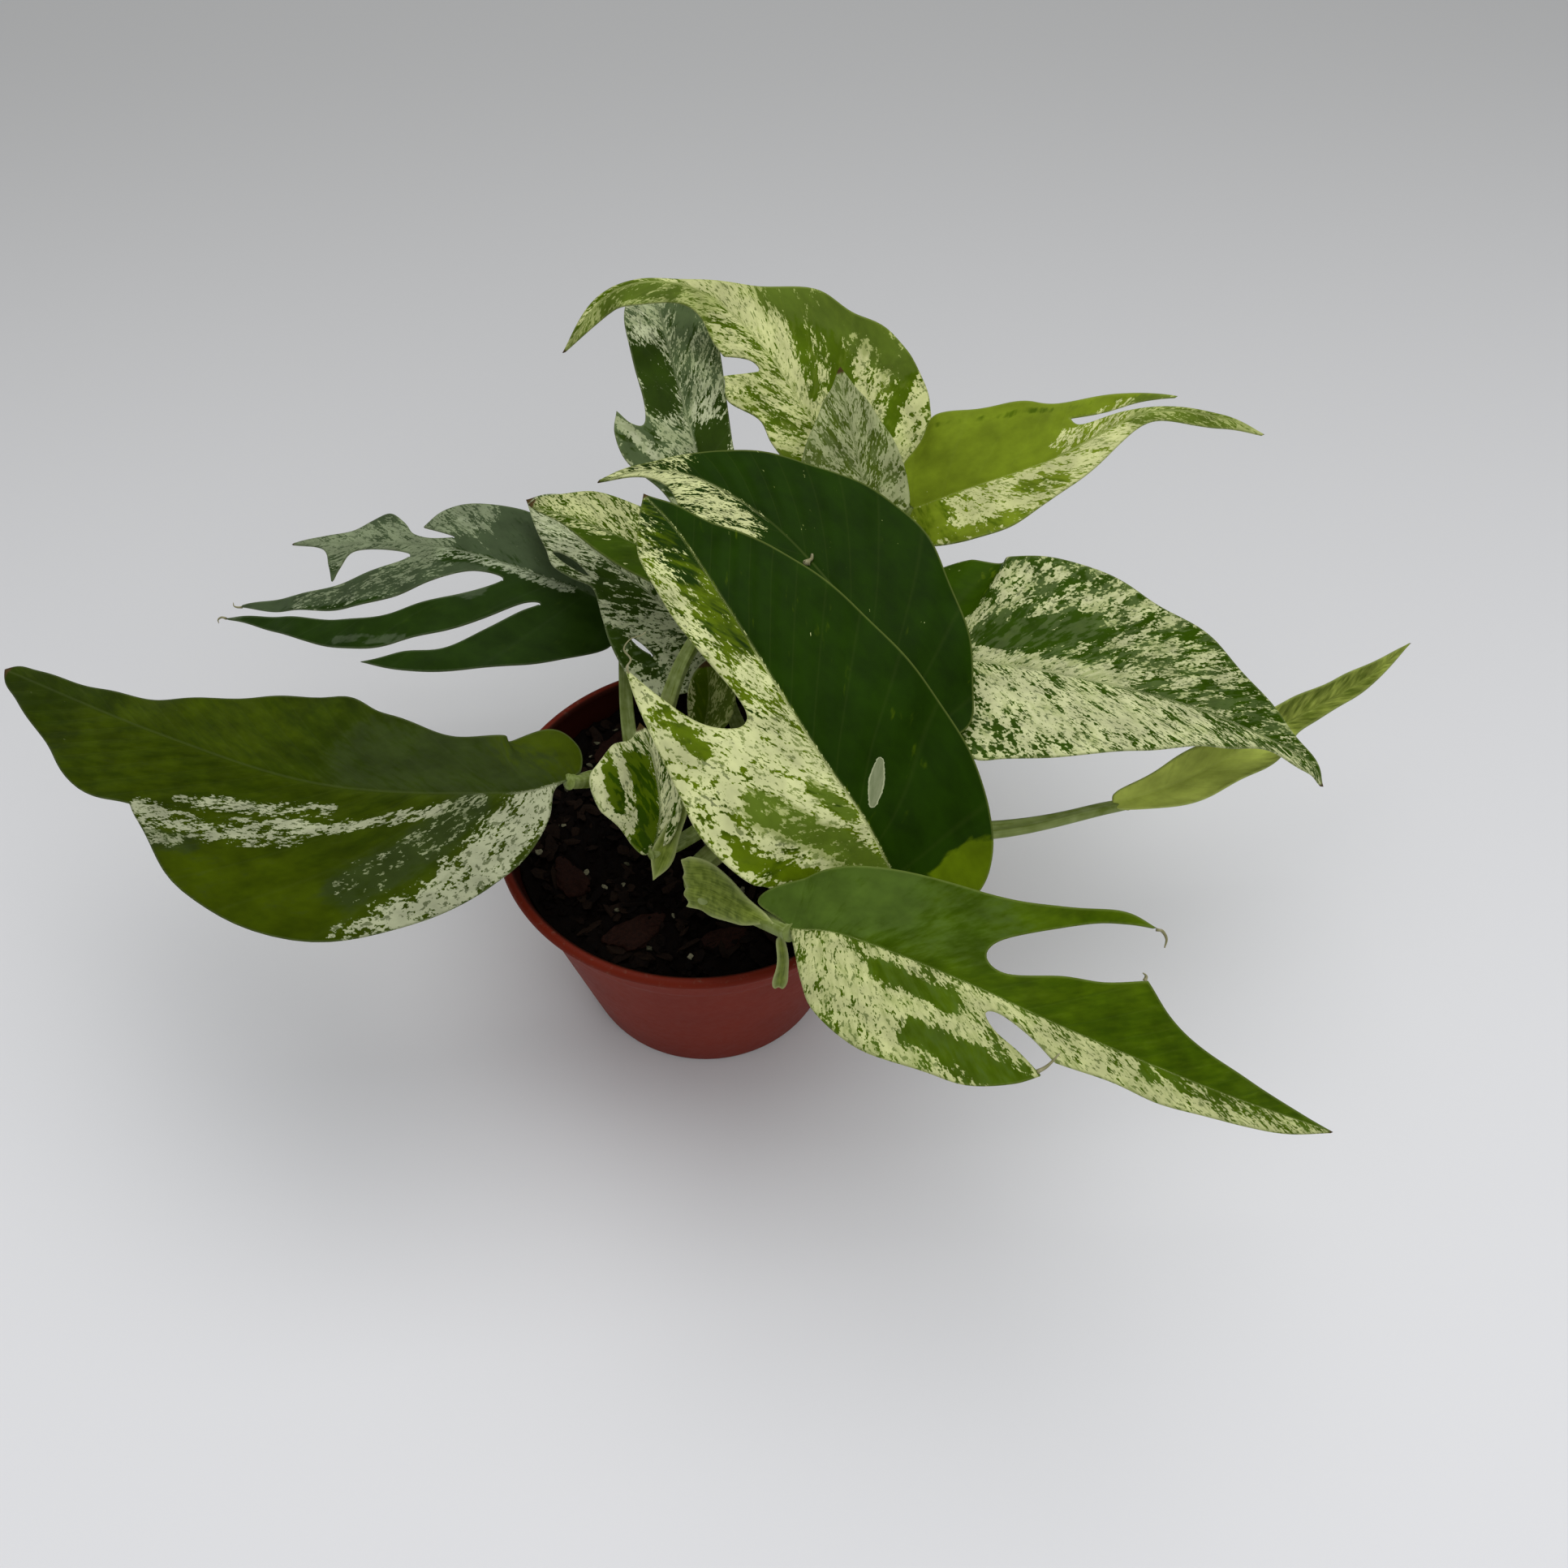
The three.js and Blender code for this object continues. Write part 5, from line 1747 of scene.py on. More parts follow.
# ---- The plant's own shapes, in millimetres ----
LEAVES = {
    "long_left": Blade(
        spine=((-31, -10, 97), (-47, -16, 101), (-88, -12, 103), (-131, 12, 97), (-182, 50, 84)),
        face=(0, -0.26, 0.97), fold=(-14, -12), curl=(0, 0),
        left=((5, 2), (9, 9), (18, 21), (36, 31), (58, 37), (83, 33), (103, 22), (108, 18.5, 1),
            (126, 20), (145, 13), (163, 6.4), (170.5, 3.6)),
        right=((-4, 2), (-6, 9), (-2, 16), (10, 17), (29, 17), (50, 23), (70, 26), (97, 18),
            (120, 9), (145, 5), (163, 3.6), (170.5, 2.8)),
    ),
    "front_big": Blade(
        spine=((42.5, -50, 105), (36, -42, 117), (26, -31, 129), (9, -1, 143), (-1, 22, 145),
            (-9, 41, 141)),
        face=(0, -0.36, 0.93), fold=(0, 6), curl=(-4, -8),
        left=((-2, 4), (-1, 11), (6, 20), (17, 28), (31, 32), (42, 31), (61, 29), (71, 27, 1),
            (62, 24), (52, 19), (47, 13), (48, 9.5), (54, 9), (66, 11), (80, 12), (97, 11),
            (108, 6)),
        right=((-6, 4), (-14, 12), (-12, 19), (-2, 25), (12, 28), (30, 29), (47, 27), (63, 23),
            (79, 17), (95, 8), (108, 3.5)),
    ),
    "behind_big": Blade(
        spine=((57, -8, 105), (48, 6, 115), (36, 26, 122), (22, 45, 127), (6, 61, 128),
            (-8, 67, 127), (-22, 64, 126)),
        face=(0, -0.3, 0.95), fold=(5, 5), curl=(0, -10),
        left=((-3, 4), (-6, 12), (4, 20), (22, 22), (57, 22), (86, 13), (99, 5), (110, 1.6)),
        right=((-4, 4), (-3, 10), (4, 15), (16, 21), (31, 25), (44, 28), (56, 26), (68, 21),
            (80, 16), (92, 9), (104, 2.5), (114, 1.2)),
    ),
    "right_marbled": Blade(
        spine=((60, 26, 97), (72, 17, 102), (97, 9, 102), (128, 4, 93), (157, 0, 77),
            (165, -3, 67)),
        face=(0.1, -0.3, 0.95), fold=(14, 18), curl=(-20, -14),
        left=((-3, 3), (-9, 10), (-11, 20), (-7, 27), (3, 31), (24, 32), (40, 32), (58, 26),
            (73, 21), (90, 12), (104, 5), (114, 2)),
        right=((-3, 4), (0, 12), (11, 19), (20, 30), (28, 29), (45, 23), (66, 15), (82, 9), (96, 4),
            (110, 3.5)),
    ),
    "back_right": Blade(
        spine=((62, 72, 105), (74, 69, 113), (99, 69, 123), (124, 79, 128), (146, 82, 123),
            (161, 82, 116)),
        face=(0, -0.4, 0.91), fold=(12, 8), curl=(-24, 0),
        left=((-3, 5), (-2, 11), (5, 18), (12, 23), (24, 21), (38, 18), (50, 13), (62, 8.5),
            (70, 6), (81, 4, 1), (70, 3.6), (60, 4.4), (50, 8, 1), (52, 5), (62, 3), (73, 1.6),
            (95, 1.2)),
        right=((-3, 4), (1, 11), (12, 15), (24, 15), (34, 12), (46, 8), (58, 5), (71, 2.5), (84, 4),
            (96, 2.4)),
    ),
    "front_right": Blade(
        spine=((17.6, -66, 110.5), (28.6, -72.7, 116.5), (50.5, -85.5, 117), (73, -94.5, 109),
            (105, -101.5, 92), (136, -103, 71)),
        face=(0, -0.3, 0.95), fold=(10, -4), curl=(0, -8),
        left=((-4, 2), (-10, 5), (-6, 9), (6, 13), (21, 17), (40, 19), (54, 23), (68, 27.6),
            (77, 27, 1), (70, 25.4), (61, 22), (51, 16), (44, 10.5), (43, 6.5), (48, 5.2),
            (59, 9.6), (69, 12.2), (78, 16, 1), (86, 11), (98, 7), (112, 4.6), (125, 2.2)),
        right=((2, 4), (6, 11), (13, 17), (26, 21), (40, 20), (49, 19), (57, 15), (62, 11, 1),
            (56, 8.5), (50, 6.5), (47, 4), (50, 3), (57, 4.6), (64, 7.4, 1), (76, 6.6), (88, 7),
            (100, 6), (112, 5), (125, 3.6)),
    ),
    "young_rolled": Blade(
        spine=((107, -5.7, 68.5), (127.5, -0.3, 70.5), (160, 18, 68.5), (189, 36.5, 64),
            (209.5, 52.5, 62)),
        face=(0, -0.4, 0.91), fold=(30, 30), curl=(90, 60),
        left=((2, 3), (13, 5.5), (26, 8), (44, 8), (62, 6.5), (78, 5.5), (95, 4), (108, 1.8)),
        right=((2, 3), (14, 8), (30, 10), (43, 9.8), (49, 8.8, 1), (47.6, 6.6), (51, 5.8),
            (54, 6.6, 1), (62, 4), (78, 3.6), (96, 2.6), (108, 1.2)),
    ),
    "left_fingered": Blade(
        spine=((-18, 64, 83), (-33, 68, 90), (-64, 80, 94), (-99, 98, 82), (-115, 107, 74)),
        face=(0, -0.3, 0.95), fold=(-6, -4), curl=(0, 0),
        left=((-2, 5), (-2, 12), (9, 21), (20, 27), (35, 34), (50, 38), (66, 37, 1), (53, 33),
            (41, 29), (31, 20), (24, 12), (20, 8), (24, 9.5), (33, 17.5), (45, 25.5), (60, 31.5),
            (74, 33.5), (91, 31.5), (105, 28.8), (119, 26), (131, 24, 1), (112, 23.8), (91, 24.6),
            (70, 24), (54, 18.5), (42, 12.5), (32, 5), (41, 5), (52, 11), (64, 17), (78, 21),
            (96, 22.2), (112, 22), (125.5, 20.4, 1), (108, 18.2), (97, 17), (85, 13.6), (70, 8),
            (62, 3.6), (72, 2.4), (84, 3), (87, 8), (88, 13, 1), (91, 8), (96, 2.5)),
        right=((-3, 5), (2, 12), (12, 15), (24, 16), (36, 18), (47, 16), (58, 12), (62, 6, 1),
            (55, 4.6), (50, 3.4), (57, 2.2), (64, 3.4), (69, 7), (76, 10), (82, 8), (88, 4),
            (97, 2), (106, 1.2)),
        shift=(-2.6, 0, -2),
    ),
    "back_upright": Blade(
        spine=((8, 80, 105), (5, 92, 112), (0, 115, 124), (-3, 135, 128), (-6, 155, 124)),
        face=(0, -0.5, 0.86), fold=(6, 6), curl=(0, 0),
        left=((-3, 4), (-2, 9), (6, 13), (15, 19.5), (24, 21), (30, 19, 1), (26, 16), (25, 12.5),
            (31, 11), (44, 11), (58, 11), (70, 8.5), (78, 4)),
        right=((-3, 4), (0, 9), (14, 10), (26, 11.5), (38, 13), (52, 14), (62, 13), (72, 9),
            (79, 4)),
    ),
    "back_top": Blade(
        spine=((51, 82, 105), (38, 96, 117), (27, 111, 129), (16, 120, 138), (5, 123, 144),
            (-8, 124, 145), (-19, 125, 139), (-31, 121, 125)),
        face=(0, -0.45, 0.89), fold=(5, 5), curl=(0, -16),
        left=((-4, 5), (-5, 13), (4, 17), (14, 14), (24, 14), (31, 13), (40, 18), (48, 15, 1),
            (44, 8.5), (43, 5.5), (47, 6), (53, 11, 1), (60, 10), (74, 6), (88, 7), (98, 5),
            (108, 3)),
        right=((-7, 2), (-9, 9), (-3, 20), (5, 29), (14, 34), (34, 34), (43, 26), (51, 22),
            (61, 9.5), (75, 1.8), (90, 1), (105, 1.6)),
    ),
    "back_small": Blade(
        spine=((50, 69, 108), (48, 76, 119), (45, 82, 131), (43, 88, 141)),
        face=(0.1, -0.5, 0.86), fold=(4, 4), curl=(0, 0),
        left=((-3, 5), (-2, 14), (8, 19), (15, 18), (22, 14), (27, 9), (31, 6), (34, 3)),
        right=((-4, 5), (-2, 11), (6, 12), (15, 10.5), (22, 8), (28, 6), (33, 3)),
    ),
    "mid_tongue": Blade(
        spine=((9, 41, 107), (-1, 45, 113), (-11, 47, 119), (-25, 54, 122), (-40, 66, 118)),
        face=(0, -0.4, 0.91), fold=(10, 10), curl=(0, 0),
        left=((-3, 5), (-2, 10), (8, 10.5), (20, 8.5), (34, 6.5), (46, 2.6), (56, 1)),
        right=((-3, 5), (4, 9.5), (16, 10), (30, 9.2), (42, 8), (52, 5), (58, 2.4)),
    ),
    "mid_grey": Blade(
        spine=((7, 41, 87), (-6, 49, 96), (-18, 58, 102), (-31, 71, 104), (-43, 87, 102)),
        face=(0, -0.35, 0.93), fold=(5, 5), curl=(0, 0),
        left=((-3, 6), (-2, 14), (4, 21), (10, 23), (17, 21), (23, 18), (28, 14), (35, 9),
            (41, 10.5), (47, 11), (53, 8), (62, 4.6)),
        right=((-3, 6), (4, 12), (21, 14), (41, 13), (58, 10), (68, 5)),
        holes=(((12, 13.2), (16, 14.2), (20, 13.6), (16, 12.8)),
            ((38, 7), (44, 8.4), (50, 8), (49, 6.6), (43, 6))),
    ),
    "small_cupped": Blade(
        spine=((-11, -27, 90), (-9, -21, 97), (-10, -11, 104), (-13, -3, 108)),
        face=(0, -0.5, 0.86), fold=(20, 15), curl=(10, 0),
        left=((-2, 3), (3, 9), (9, 15), (18, 17), (24, 14), (28, 9), (28, 4)),
        right=((2, 3), (9, 5), (17, 5.5), (23, 4.5), (26, 2.5)),
    ),
    "small_folded": Blade(
        spine=((2, 21, 76), (4, 25, 85), (4, 28, 96)),
        face=(0, -0.6, 0.8), fold=(20, 20), curl=(0, 0),
        left=((0, 2), (4, 5), (12, 6), (18, 4)),
        right=((0, 3), (6, 7), (14, 7), (19, 3.5)),
    ),
}

MARKINGS = {
    "long_left": Marking(
        OLIVE, lime=(0.42, 0.25), grey=(0.2, 0.2), rake=3.4,
        streaks=(
            lime(0.72, 10, (62, 28), (88, 26)),
            cream(0.74, 6, (8, 2), (18, 13), (34, 28), (44, 35)),
            cream(0.1, 2.2, (2, 6), (8, 14), (14, 17)),
            grey(0.75, 4.5, (24, 3), (36, 14), (50, 24)),
            cream(0.16, 4.5, (26, 6), (36, 14), (48, 22)),
            cream(0.6, 1.5, (22, 1.5), (44, 7), (62, 12)),
            cream(0.66, 3, (62, 12), (80, 17), (105, 19.5)),
            cream(0.5, 1.6, (56, 6), (80, 10), (95, 14)), cream(0.5, 1.8, (90, 23), (99, 24)),
            grey(0.6, 2.4, (86, 22), (102, 25)), lime(0.9, 8, (-4, -8), (12, -15)),
            grey(0.62, 12, (12, -6), (50, -10)), lime(0.52, 12, (84, -10), (120, -8)),
            lime(0.5, 8, (104, 8), (130, 6)), lime(0.15, 8, (150, 0), (172, 0)),
        ),
    ),
    "front_big": Marking(
        # The right half's small lime amount gives rare soft lighter patches: painted sheen on the dark
        # green.
        DARK, cream=(0.7, 0.0), lime=(0.62, 0.12), grey=(0.15, 0.06),
        streaks=(
            lime(1.2, 6, (-9, -12), (-8, -19)), cream(0.86, 8, (34, 14), (50, 20), (60, 26)),
            cream(0.12, 4.2, (0, 3), (14, 9), (30, 18)), grey(0.8, 4.2, (0, 3), (14, 9), (30, 18)),
            cream(0.05, 2.4, (0, 13), (12, 19), (25, 27)),
            cream(0.7, 1.3, (8, 10.5), (18, 15.5), (30, 22)), cream(0.1, 1.7, (18, 2.5), (28, 5.5)),
            grey(0.7, 1.7, (18, 2.5), (28, 5.5)), cream(0.12, 2, (46, 22), (59, 25.5)),
            cream(0.08, 6, (66, 2), (112, 1)), lime(0.35, 6, (88, 3), (112, 2)),
            cream(0.6, 2.4, (58, 9.5), (100, 9.8)),
        ),
        papery=((17, -3), (23.5, -10)),
    ),
    "behind_big": Marking(
        DARK, cream=(0.02, 0.02), lime=(0.05, 0.04), grey=(0.08, 0.06),
        streaks=(
            cream(0.62, 6, (72, 7), (100, 4)), cream(0.7, 3, (98, 2), (114, 0)),
            cream(0.5, 5, (100, -4), (112, -1)),
        ),
    ),
    "right_marbled": Marking(
        MARBLE, cream=(0.2, 0.66), lime=(0.3, 0.1), grey=(0.5, 0.4),
        streaks=(
            cream(0.02, 8, (-4, 14), (6, 28)), grey(0.1, 8, (-4, 14), (6, 28)),
            cream(0.66, 3.5, (14, 24), (30, 27)), cream(0.66, 3, (8, 9), (20, 20)),
            cream(0.05, 4.5, (16, 7), (44, 14)), cream(0.6, 4, (40, 22), (62, 22)),
            cream(0.45, 6, (52, 8), (80, 12)), cream(0.85, 2, (16, 1.8), (52, 2)),
            cream(0.12, 3, (75, 5), (98, 6)), cream(0.5, 5, (22, -22), (27, -28)),
            cream(0.45, 6, (84, -5), (115, -1)), cream(0.8, 6, (24, -12), (56, -9)),
        ),
    ),
    "back_right": Marking(
        BRIGHT, cream=(0.0, 0.35), lime=(1.1, 0.6), grey=(0.0, 0.25),
        streaks=(
            cream(0.05, 6, (2, -3), (10, -8)), cream(0.5, 2.5, (44, 3), (66, 3)),
            cream(0.82, 6, (18, -5), (34, -6), (58, -3)), cream(0.15, 2.4, (31, -5), (40, -7)),
            cream(0.12, 2, (14, -13), (30, -13.5)), lime(0.6, 1.0, (12, 20), (40, 14.5), (66, 5.5)),
            grey(0.8, 6, (70, 0), (98, 0)), cream(0.4, 4, (66, 0), (98, 0)),
            cream(0.8, 2.5, (100, 0), (108, 0)),
        ),
    ),
    "front_right": Marking(
        LEAF, cream=(0.0, 0.67), lime=(0.35, 0.6), grey=(0.15, 0.4),
        streaks=(
            # The two grey streaks at the base of the left half are painted sheen.
            grey(0.46, 9, (6, 4), (24, 9), (40, 13)), grey(0.75, 7, (-6, 4), (8, 7), (20, 11)),
            lime(0.5, 8, (48, 17), (74, 27)), lime(0.5, 5, (52, 6), (76, 15)),
            cream(0.03, 2.2, (24, -4), (40, -5.5)), cream(0.02, 3.2, (34, -13.5), (58, -14.5)),
            cream(0.8, 1.5, (26, -9), (54, -8.6)), cream(0.85, 4, (8, -3), (28, -14)),
            cream(0.85, 2.6, (55, -4), (100, -5.5)), cream(0.3, 2, (84, -1), (130, -1)),
        ),
    ),
    "young_rolled": Marking(
        YOUNG, lime=(0.3, 0.3),
        # The lime streak along the base is partly its young colour and partly painted light on its
        # shaded side.
        streaks=(lime(1.0, 9, (0, 0), (48, 0)),),
    ),
    "left_fingered": Marking(
        SHADE, cream=(0.0, 0.05), lime=(0.2, 0.1), grey=(0.12, 0.7),
        streaks=(
            grey(0.6, 1.6, (54, 29), (78, 31)), grey(0.9, 5, (40, 8), (70, 13), (124, 19.5)),
            cream(0.3, 4, (48, 9), (96, 19)), grey(0.9, 8, (60, 0), (108, 0)),
            cream(0.75, 7, (58, 0), (106, 0)), cream(0.6, 1.6, (14, 1), (58, 1)),
            cream(0.72, 5, (46, -11), (60, -10)), cream(0.0, 6, (22, -12), (34, -13)),
        ),
    ),
    "back_upright": Marking(
        MISTY, cream=(0.3, 0.35), lime=(0.1, 0.05), grey=(0.6, 0.6),
        streaks=(
            cream(0.05, 6, (12, 13), (28, 17)), cream(0.85, 1.8, (10, 8), (27, 19)),
            cream(0.7, 5, (14, 4), (30, 6)), cream(0.05, 5, (31, 6), (50, 7)),
            grey(0.0, 5, (31, 6), (50, 7)), cream(0.75, 4, (53, 6), (66, 6)),
            cream(0.05, 5, (12, -4), (24, -7)), grey(0.1, 5, (12, -4), (24, -7)),
            cream(0.6, 4, (25, -5), (36, -8)), cream(0.0, 3.5, (55, -6), (62, -8)),
        ),
    ),
    "back_top": Marking(
        BRIGHT, cream=(0.66, 0.5), lime=(0.35, 0.3), grey=(0.4, 0.35),
        streaks=(
            cream(0.5, 5, (16, 8), (44, 9)), cream(0.95, 6, (30, -2), (70, -2)),
            cream(0.9, 5, (3, -14), (14, -31)), cream(0.08, 2.4, (8, -14), (19, -32)),
            cream(0.06, 6, (24, -31), (42, -25), (56, -14)),
            grey(0.85, 6, (24, -31), (42, -25), (56, -14)), cream(0.05, 3, (22, -10), (44, -19)),
            cream(0.08, 2.6, (30, -5), (50, -12)), cream(0.7, 2.2, (16, -12), (36, -24)),
            cream(0.55, 6, (72, 2), (112, 1)), grey(0.9, 7, (72, 2), (116, 1)),
            cream(0.1, 2.4, (78, 3), (100, 3)),
        ),
    ),
    "back_small": Marking(HAZY, cream=(0.55, 0.6), lime=(0.4, 0.3), grey=(0.45, 0.4)),
    "mid_tongue": Marking(
        LEAF, cream=(0.05, 0.58), lime=(0.1, 0.4), grey=(0.2, 0.3),
        streaks=(
            cream(0.72, 4, (30, -7), (62, -3)), cream(0.3, 2, (34, 1), (60, 1)),
        ),
    ),
    "mid_grey": Marking(
        MISTY, cream=(0.68, 0.6), lime=(0.1, 0.1), grey=(0.4, 0.4),
        streaks=(
            cream(0.1, 4, (14, 16), (22, 18)), cream(0.1, 5, (26, 4), (40, 6)),
            grey(0.1, 5, (26, 4), (40, 6)), cream(0.66, 5, (42, 5), (64, 4)),
        ),
    ),
    "small_cupped": Marking(
        MARBLE, cream=(0.55, 0.6), lime=(0.5, 0.4), grey=(0.1, 0.1),
        streaks=(
            cream(0.02, 3.4, (3, 3), (22, 5)), cream(0.02, 1.8, (10, 11), (21, 12)),
            cream(0.9, 1.4, (4, 7), (24, 9)), cream(1.0, 1.6, (4, 11), (14, 16), (22, 15)),
        ),
    ),
    "small_folded": Marking(
        # The BRIGHT palette is partly painted light: it lifts this small leaf, which lies in shade, to
        # a lit mid-green.
        BRIGHT, cream=(0.05, 0.35), lime=(0.3, 0.3), grey=(0.1, 0.9),
        streaks=(cream(0.8, 1.2, (2, 5), (16, 5.4)),),
    ),
}

STEMS = {
    "left": ((-13, 5, 54), (-14, 6, 66), (-13, 8, 78), (-11, 10, 87)),
    "front": ((11, -9, 54), (12, -10, 66), (12, -9, 76), (13, -8, 83)),
    "back": ((15, 19, 54), (16, 20, 68), (18, 23, 82), (18, 26, 95)),
}

STALKS = {
    "long_left": Stalk(((-13, 2, 71), (-18, -1, 82), (-25, -6, 91), (-30, -10, 96)), (2.2, 1.7)),
    "front_big": Stalk(((15, -12, 78), (27, -26, 84), (39, -41, 91), (42.5, -50, 103.5)), (2.4, 1.8)),
    "behind_big": Stalk(((21, 18, 82), (34, 8, 92), (48, -3, 98), (57, -9, 103.5)), (2.4, 1.8)),
    "right_marbled": Stalk(((22, 24, 78), (36, 28, 86), (50, 29, 92), (59, 27, 95.5)), (2.3, 1.8)),
    "back_right": Stalk(((23, 27, 84), (34, 44, 91), (49, 61, 97), (61, 72, 103.5)), (2.2, 1.7)),
    "front_right": Stalk(
        ((8, -14, 74), (-2, -30, 83), (-1, -43, 92), (6.5, -52.5, 100), (16.6, -65.2, 108.6)),
        (2.3, 1.8), sheath=0.2,
    ),
    "young_rolled": Stalk(
        ((17, -6, 76), (39, -14, 78.5), (72, -16.5, 74.5), (105.8, -6.2, 68)), (2.5, 1.4), onward=8.0,
    ),
    "left_fingered": Stalk(((-16, 10, 68), (-18, 28, 74), (-18, 48, 79), (-17, 63, 82)), (2, 1.5)),
    "back_upright": Stalk(((18, 26, 76), (18, 44, 80), (14, 62, 87), (8.5, 79, 103.5)), (2, 1.5)),
    "back_top": Stalk(((20, 28, 80), (29, 50, 87), (44, 76, 92), (51, 83, 103.5)), (2.3, 1.8)),
    "back_small": Stalk(((19, 31, 94), (30, 48, 102), (43, 61, 106), (50, 68, 106.8)), (1.8, 1.4)),
    "mid_tongue": Stalk(((-9, 12, 88), (-3, 24, 97), (4, 34, 102), (9, 40, 105.5)), (1.9, 1.4)),
    "mid_grey": Stalk(((13, 23, 68), (10, 30, 73), (8, 36, 79), (7, 41.3, 86)), (1.8, 1.4)),
    "small_cupped": Stalk(((6, -10, 80), (1, -18, 85), (-6, -25, 88), (-11, -27.5, 89)), (1.8, 1.4)),
    "small_folded": Stalk(((3, 13, 64.5), (2.4, 17, 69), (2, 20.5, 74.5)), (1.6, 1.2)),
}

SHEATHS = {
    "folded": Blade(
        spine=((-4, -42, 94), (1, -46.5, 98), (8, -56, 104.5), (14.5, -64, 109.5)),
        face=(0, -0.45, 0.9), fold=(34, -34), curl=(10, -60),
        left=((-1, 2.4), (-0.2, 4), (-1.4, 6.8, 1), (3, 7.8), (10, 6.6), (18, 4.2), (25, 2)),
        right=((-1.4, 2), (0, 3.6), (-1, 5, 1), (8, 5.4), (18, 4.6), (25, 3)),
    ),
    "hanging": Blade(
        spine=((15.6, -64.5, 106), (16.0, -67, 100), (15, -69, 92)),
        face=(0.1, -0.9, 0.45), fold=(30, 30), curl=(0, 0),
        left=((2, 1.3), (9, 1.6), (13, 1.9), (15, 1.2)),
        right=((2, 1.3), (9, 1.8), (12.4, 1.9), (15, 1.2)),
    ),
    "cupped": Blade(
        spine=((-3.4, -20, 98), (-7.4, -25.5, 92.5), (-12.2, -32.5, 84.5)),
        face=(0.1, -0.6, 0.8), fold=(16, 16), curl=(10, 10),
        left=((2, 1.6), (8, 2.2), (13, 2.9), (16.4, 2.4)),
        right=((2, 1.6), (8, 2.4), (13, 3), (16.4, 2)),
    ),
}

THREADS = {
    "side_lobe": DriedThread(
        "front_big", (69.4, 26.9),
        ((-0.4, 1.6), (0.4, 3.3), (-1.1, 5.5), (0.3, 7.7), (2.5, 8.5), (3.8, 9.4)), 0.35,
    ),
    "far_hook": DriedThread("front_right", (76.5, 26.8), ((1.2, -0.3), (2.1, -1.9), (1.7, -3.8)), 0.5),
    "near_hook": DriedThread("front_right", (77.6, 15.8), ((0.3, 1.0), (-0.4, 1.7)), 0.45),
    "back_stub": DriedThread("behind_big", (52, 0.5), ((-1.4, 0.2), (0.2, 1.0), (0.5, 2.4)), 1.1),
    "long_finger": DriedThread(
        "left_fingered", (129, 24.2), ((-1.4, 0.3), (-2.4, -0.4), (-2.2, -1.4)), 0.5,
    ),
    "slot_bridge": DriedThread("front_right", (61, -10.6), ((2.2, 1.3), (4.6, 3.8)), 0.5),
    "third_finger": DriedThread(
        "left_fingered", (123.5, 20.6), ((-1.4, 0.0), (-2.4, 0.4), (-2.6, 1.4)), 0.45,
    ),
}

BARK_TURNS = {"front": 0.5, "left": 2.1, "middle": 3.4, "right": 5.2, "back": 4.1}


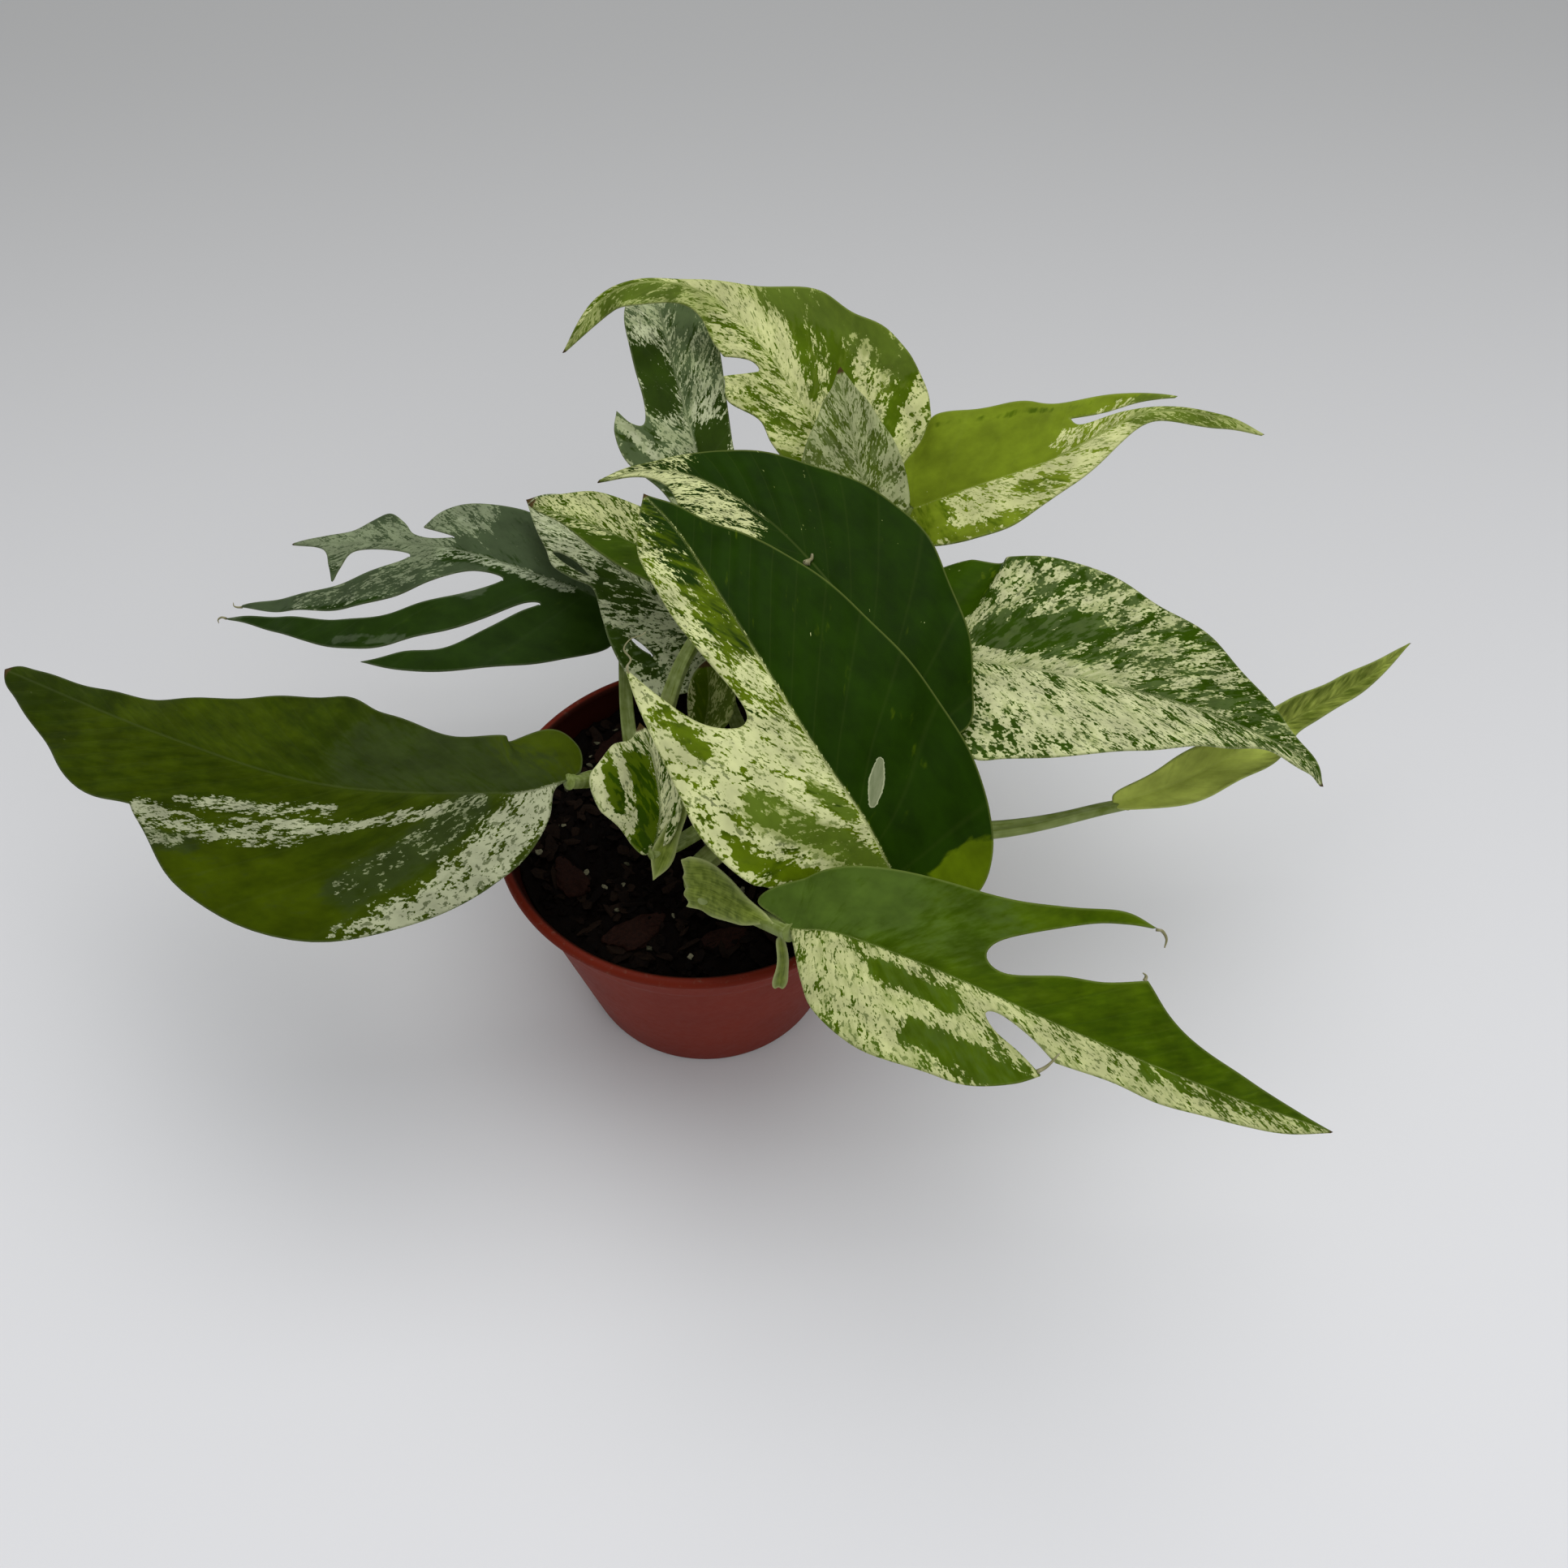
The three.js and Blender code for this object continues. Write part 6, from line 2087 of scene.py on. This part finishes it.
# ---- Stage ----
@dataclass(frozen=True)
class Stage:
    """A pale paper floor, soft light from above and in front, and the camera."""

    camera_place: Point3 = (0.0, -0.253, 0.389)
    camera_down_degrees: float = 50.76
    camera_right_degrees: float = 4.92
    camera_roll_degrees: float = 0.48
    lens_mm: float = 36.0
    sensor_mm: float = 36.0
    floor_half: float = 4.0
    paper_near: str = "e8e8e9"
    # The far colour is painted shade: the floor darkens towards the back as the light falls off.
    paper_far_painted_shade: str = "b0b0af"
    lit_place: Point3 = (0.0, 0.0, 0.06)

    def build_camera(self) -> None:
        """Places the camera: forward from its two angles, then rolled about forward."""
        angles = (self.camera_down_degrees, self.camera_right_degrees, self.camera_roll_degrees)
        down, right, roll = (math.radians(angle) for angle in angles)
        level_part = math.cos(down)
        forward = np.array([
            math.sin(right) * level_part, math.cos(right) * level_part, -math.sin(down)
        ])
        level = np.cross(forward, (0, 0, 1))
        level /= np.linalg.norm(level)
        upward = np.cross(level, forward)
        side = level * math.cos(roll) + upward * math.sin(roll)
        top = upward * math.cos(roll) - level * math.sin(roll)
        turned = Matrix(np.stack([side, top, -forward], -1).tolist()).to_4x4()
        data = bpy.data.cameras.new("view")
        data.lens = self.lens_mm
        data.sensor_width = self.sensor_mm
        data.clip_start = 0.01
        camera = bpy.data.objects.new("view", data)
        camera.matrix_world = Matrix.Translation(self.camera_place) @ turned
        bpy.context.scene.collection.objects.link(camera)
        bpy.context.scene.camera = camera

    def build_floor(self) -> None:
        """Lays the paper floor, greyed towards the back by painted shade."""
        half = self.floor_half
        corners = np.array([(-half, -half, 0), (half, -half, 0), (half, half, 0), (-half, half, 0)])
        floor = make_object("paper_floor", corners, [[0, 1, 2, 3]])
        material = new_material("paper_matt_white_painted_shade")
        where = add_node(material, "TexCoord").outputs["Object"]
        back = add_node(material, "SeparateXYZ", {0: where}).outputs[1]
        # Painted shade: the floor turns greyer towards the back, where the light falls off.
        paper = lay_over(material, self.paper_near, self.paper_far_painted_shade, back, -0.25, 0.65)
        shade(material, {"Base Color": paper, "Roughness": 0.85, "Specular IOR Level": 0.1})
        floor.data.materials.append(material)

    def add_light(self, name: str, place: Point3, size: float, power: float, tint: str) -> None:
        """Hangs a square soft light that faces the plant's middle.

        Args:
            name: the light's name.
            place: where it hangs, in metres.
            size: the length of its sides, in metres.
            power: its power in watts.
            tint: its colour as sRGB hex.
        """
        data = bpy.data.lights.new(name, "AREA")
        data.size = size
        data.energy = power
        data.color = colour(tint)[:3]
        lamp = bpy.data.objects.new(name, data)
        away = np.array(place) - np.array(self.lit_place)
        lamp.matrix_world = Matrix.Translation(place) @ Matrix(aim(away).tolist()).to_4x4()
        bpy.context.scene.collection.objects.link(lamp)

    def build_light(self) -> None:
        """Lights the stage: an even pale surround and two large soft lights overhead."""
        world = bpy.data.worlds.new("surround")
        world.use_nodes = True
        surround = world.node_tree.nodes["Background"]
        surround.inputs["Color"].default_value = colour("f4f6fa")
        surround.inputs["Strength"].default_value = 0.5
        bpy.context.scene.world = world
        self.add_light("softbox_top", (0.08, 0.34, 1.5), 1.35, 11.8, "ffffff")
        self.add_light("softbox_front", (0.3, -0.7, 1.0), 0.9, 2.4, "fdfdff")

    def build(self) -> None:
        """Builds the camera, the floor and the light."""
        self.build_camera()
        self.build_floor()
        self.build_light()
        bpy.context.scene.view_settings.view_transform = "Standard"
        log.info("stage: camera, floor and light")


def aim(away: Array) -> Array:
    """Turns a light that hangs away from the place it lights, so that it faces that place.

    Args:
        away: the way from the lit place to the light.

    Returns:
        A rotation whose third column points along away.
    """
    back = away / np.linalg.norm(away)
    side = np.cross((0, 1, 0), back)
    side /= np.linalg.norm(side)
    return np.stack([side, np.cross(back, side), back], -1)


def main() -> None:
    """Builds the stage and the plant's sub-assemblies in order."""
    Stage().build()
    Pot().build()
    PottingMix().build()
    bark = BARK_FINISH.material("bark_flake_damp")
    for name, turn in BARK_TURNS.items():
        BarkFlake(name, turn).build(bark)
    stem_skin = StalkFinish(green="5c6e34", light="86905a").material("stem_skin_living")
    for name, path in STEMS.items():
        StemPiece(name, path).build(stem_skin)
    stalk_skin = StalkFinish().material("stalk_skin_living")
    for name, stalk in STALKS.items():
        StalkPiece(name, stalk).build(stalk_skin)
    sheath_finish = StalkFinish(green="4e5e0c", light="7c8b34", dry="a0a86c")
    sheath_skin = sheath_finish.material("sheath_skin_thin")
    for name, flap in SHEATHS.items():
        SheathPiece(name, flap).build(sheath_skin)
    log.info("stems, stalks and sheaths: %d", len(STEMS) + len(STALKS) + len(SHEATHS))
    blades = {name: BladePiece(name, blade, MARKINGS[name]) for name, blade in LEAVES.items()}
    for name, blade in blades.items():
        piece = blade.build()
        log.info("blade %s: %d faces", name, len(piece.data.polygons))
    dried = StalkFinish(green="858c62", light="b4b692", dry="7a6a48").material("leaf_thread_dried")
    for name, thread in THREADS.items():
        thread.build(name, blades[thread.blade], dried)


if __name__ == "__main__":
    main()
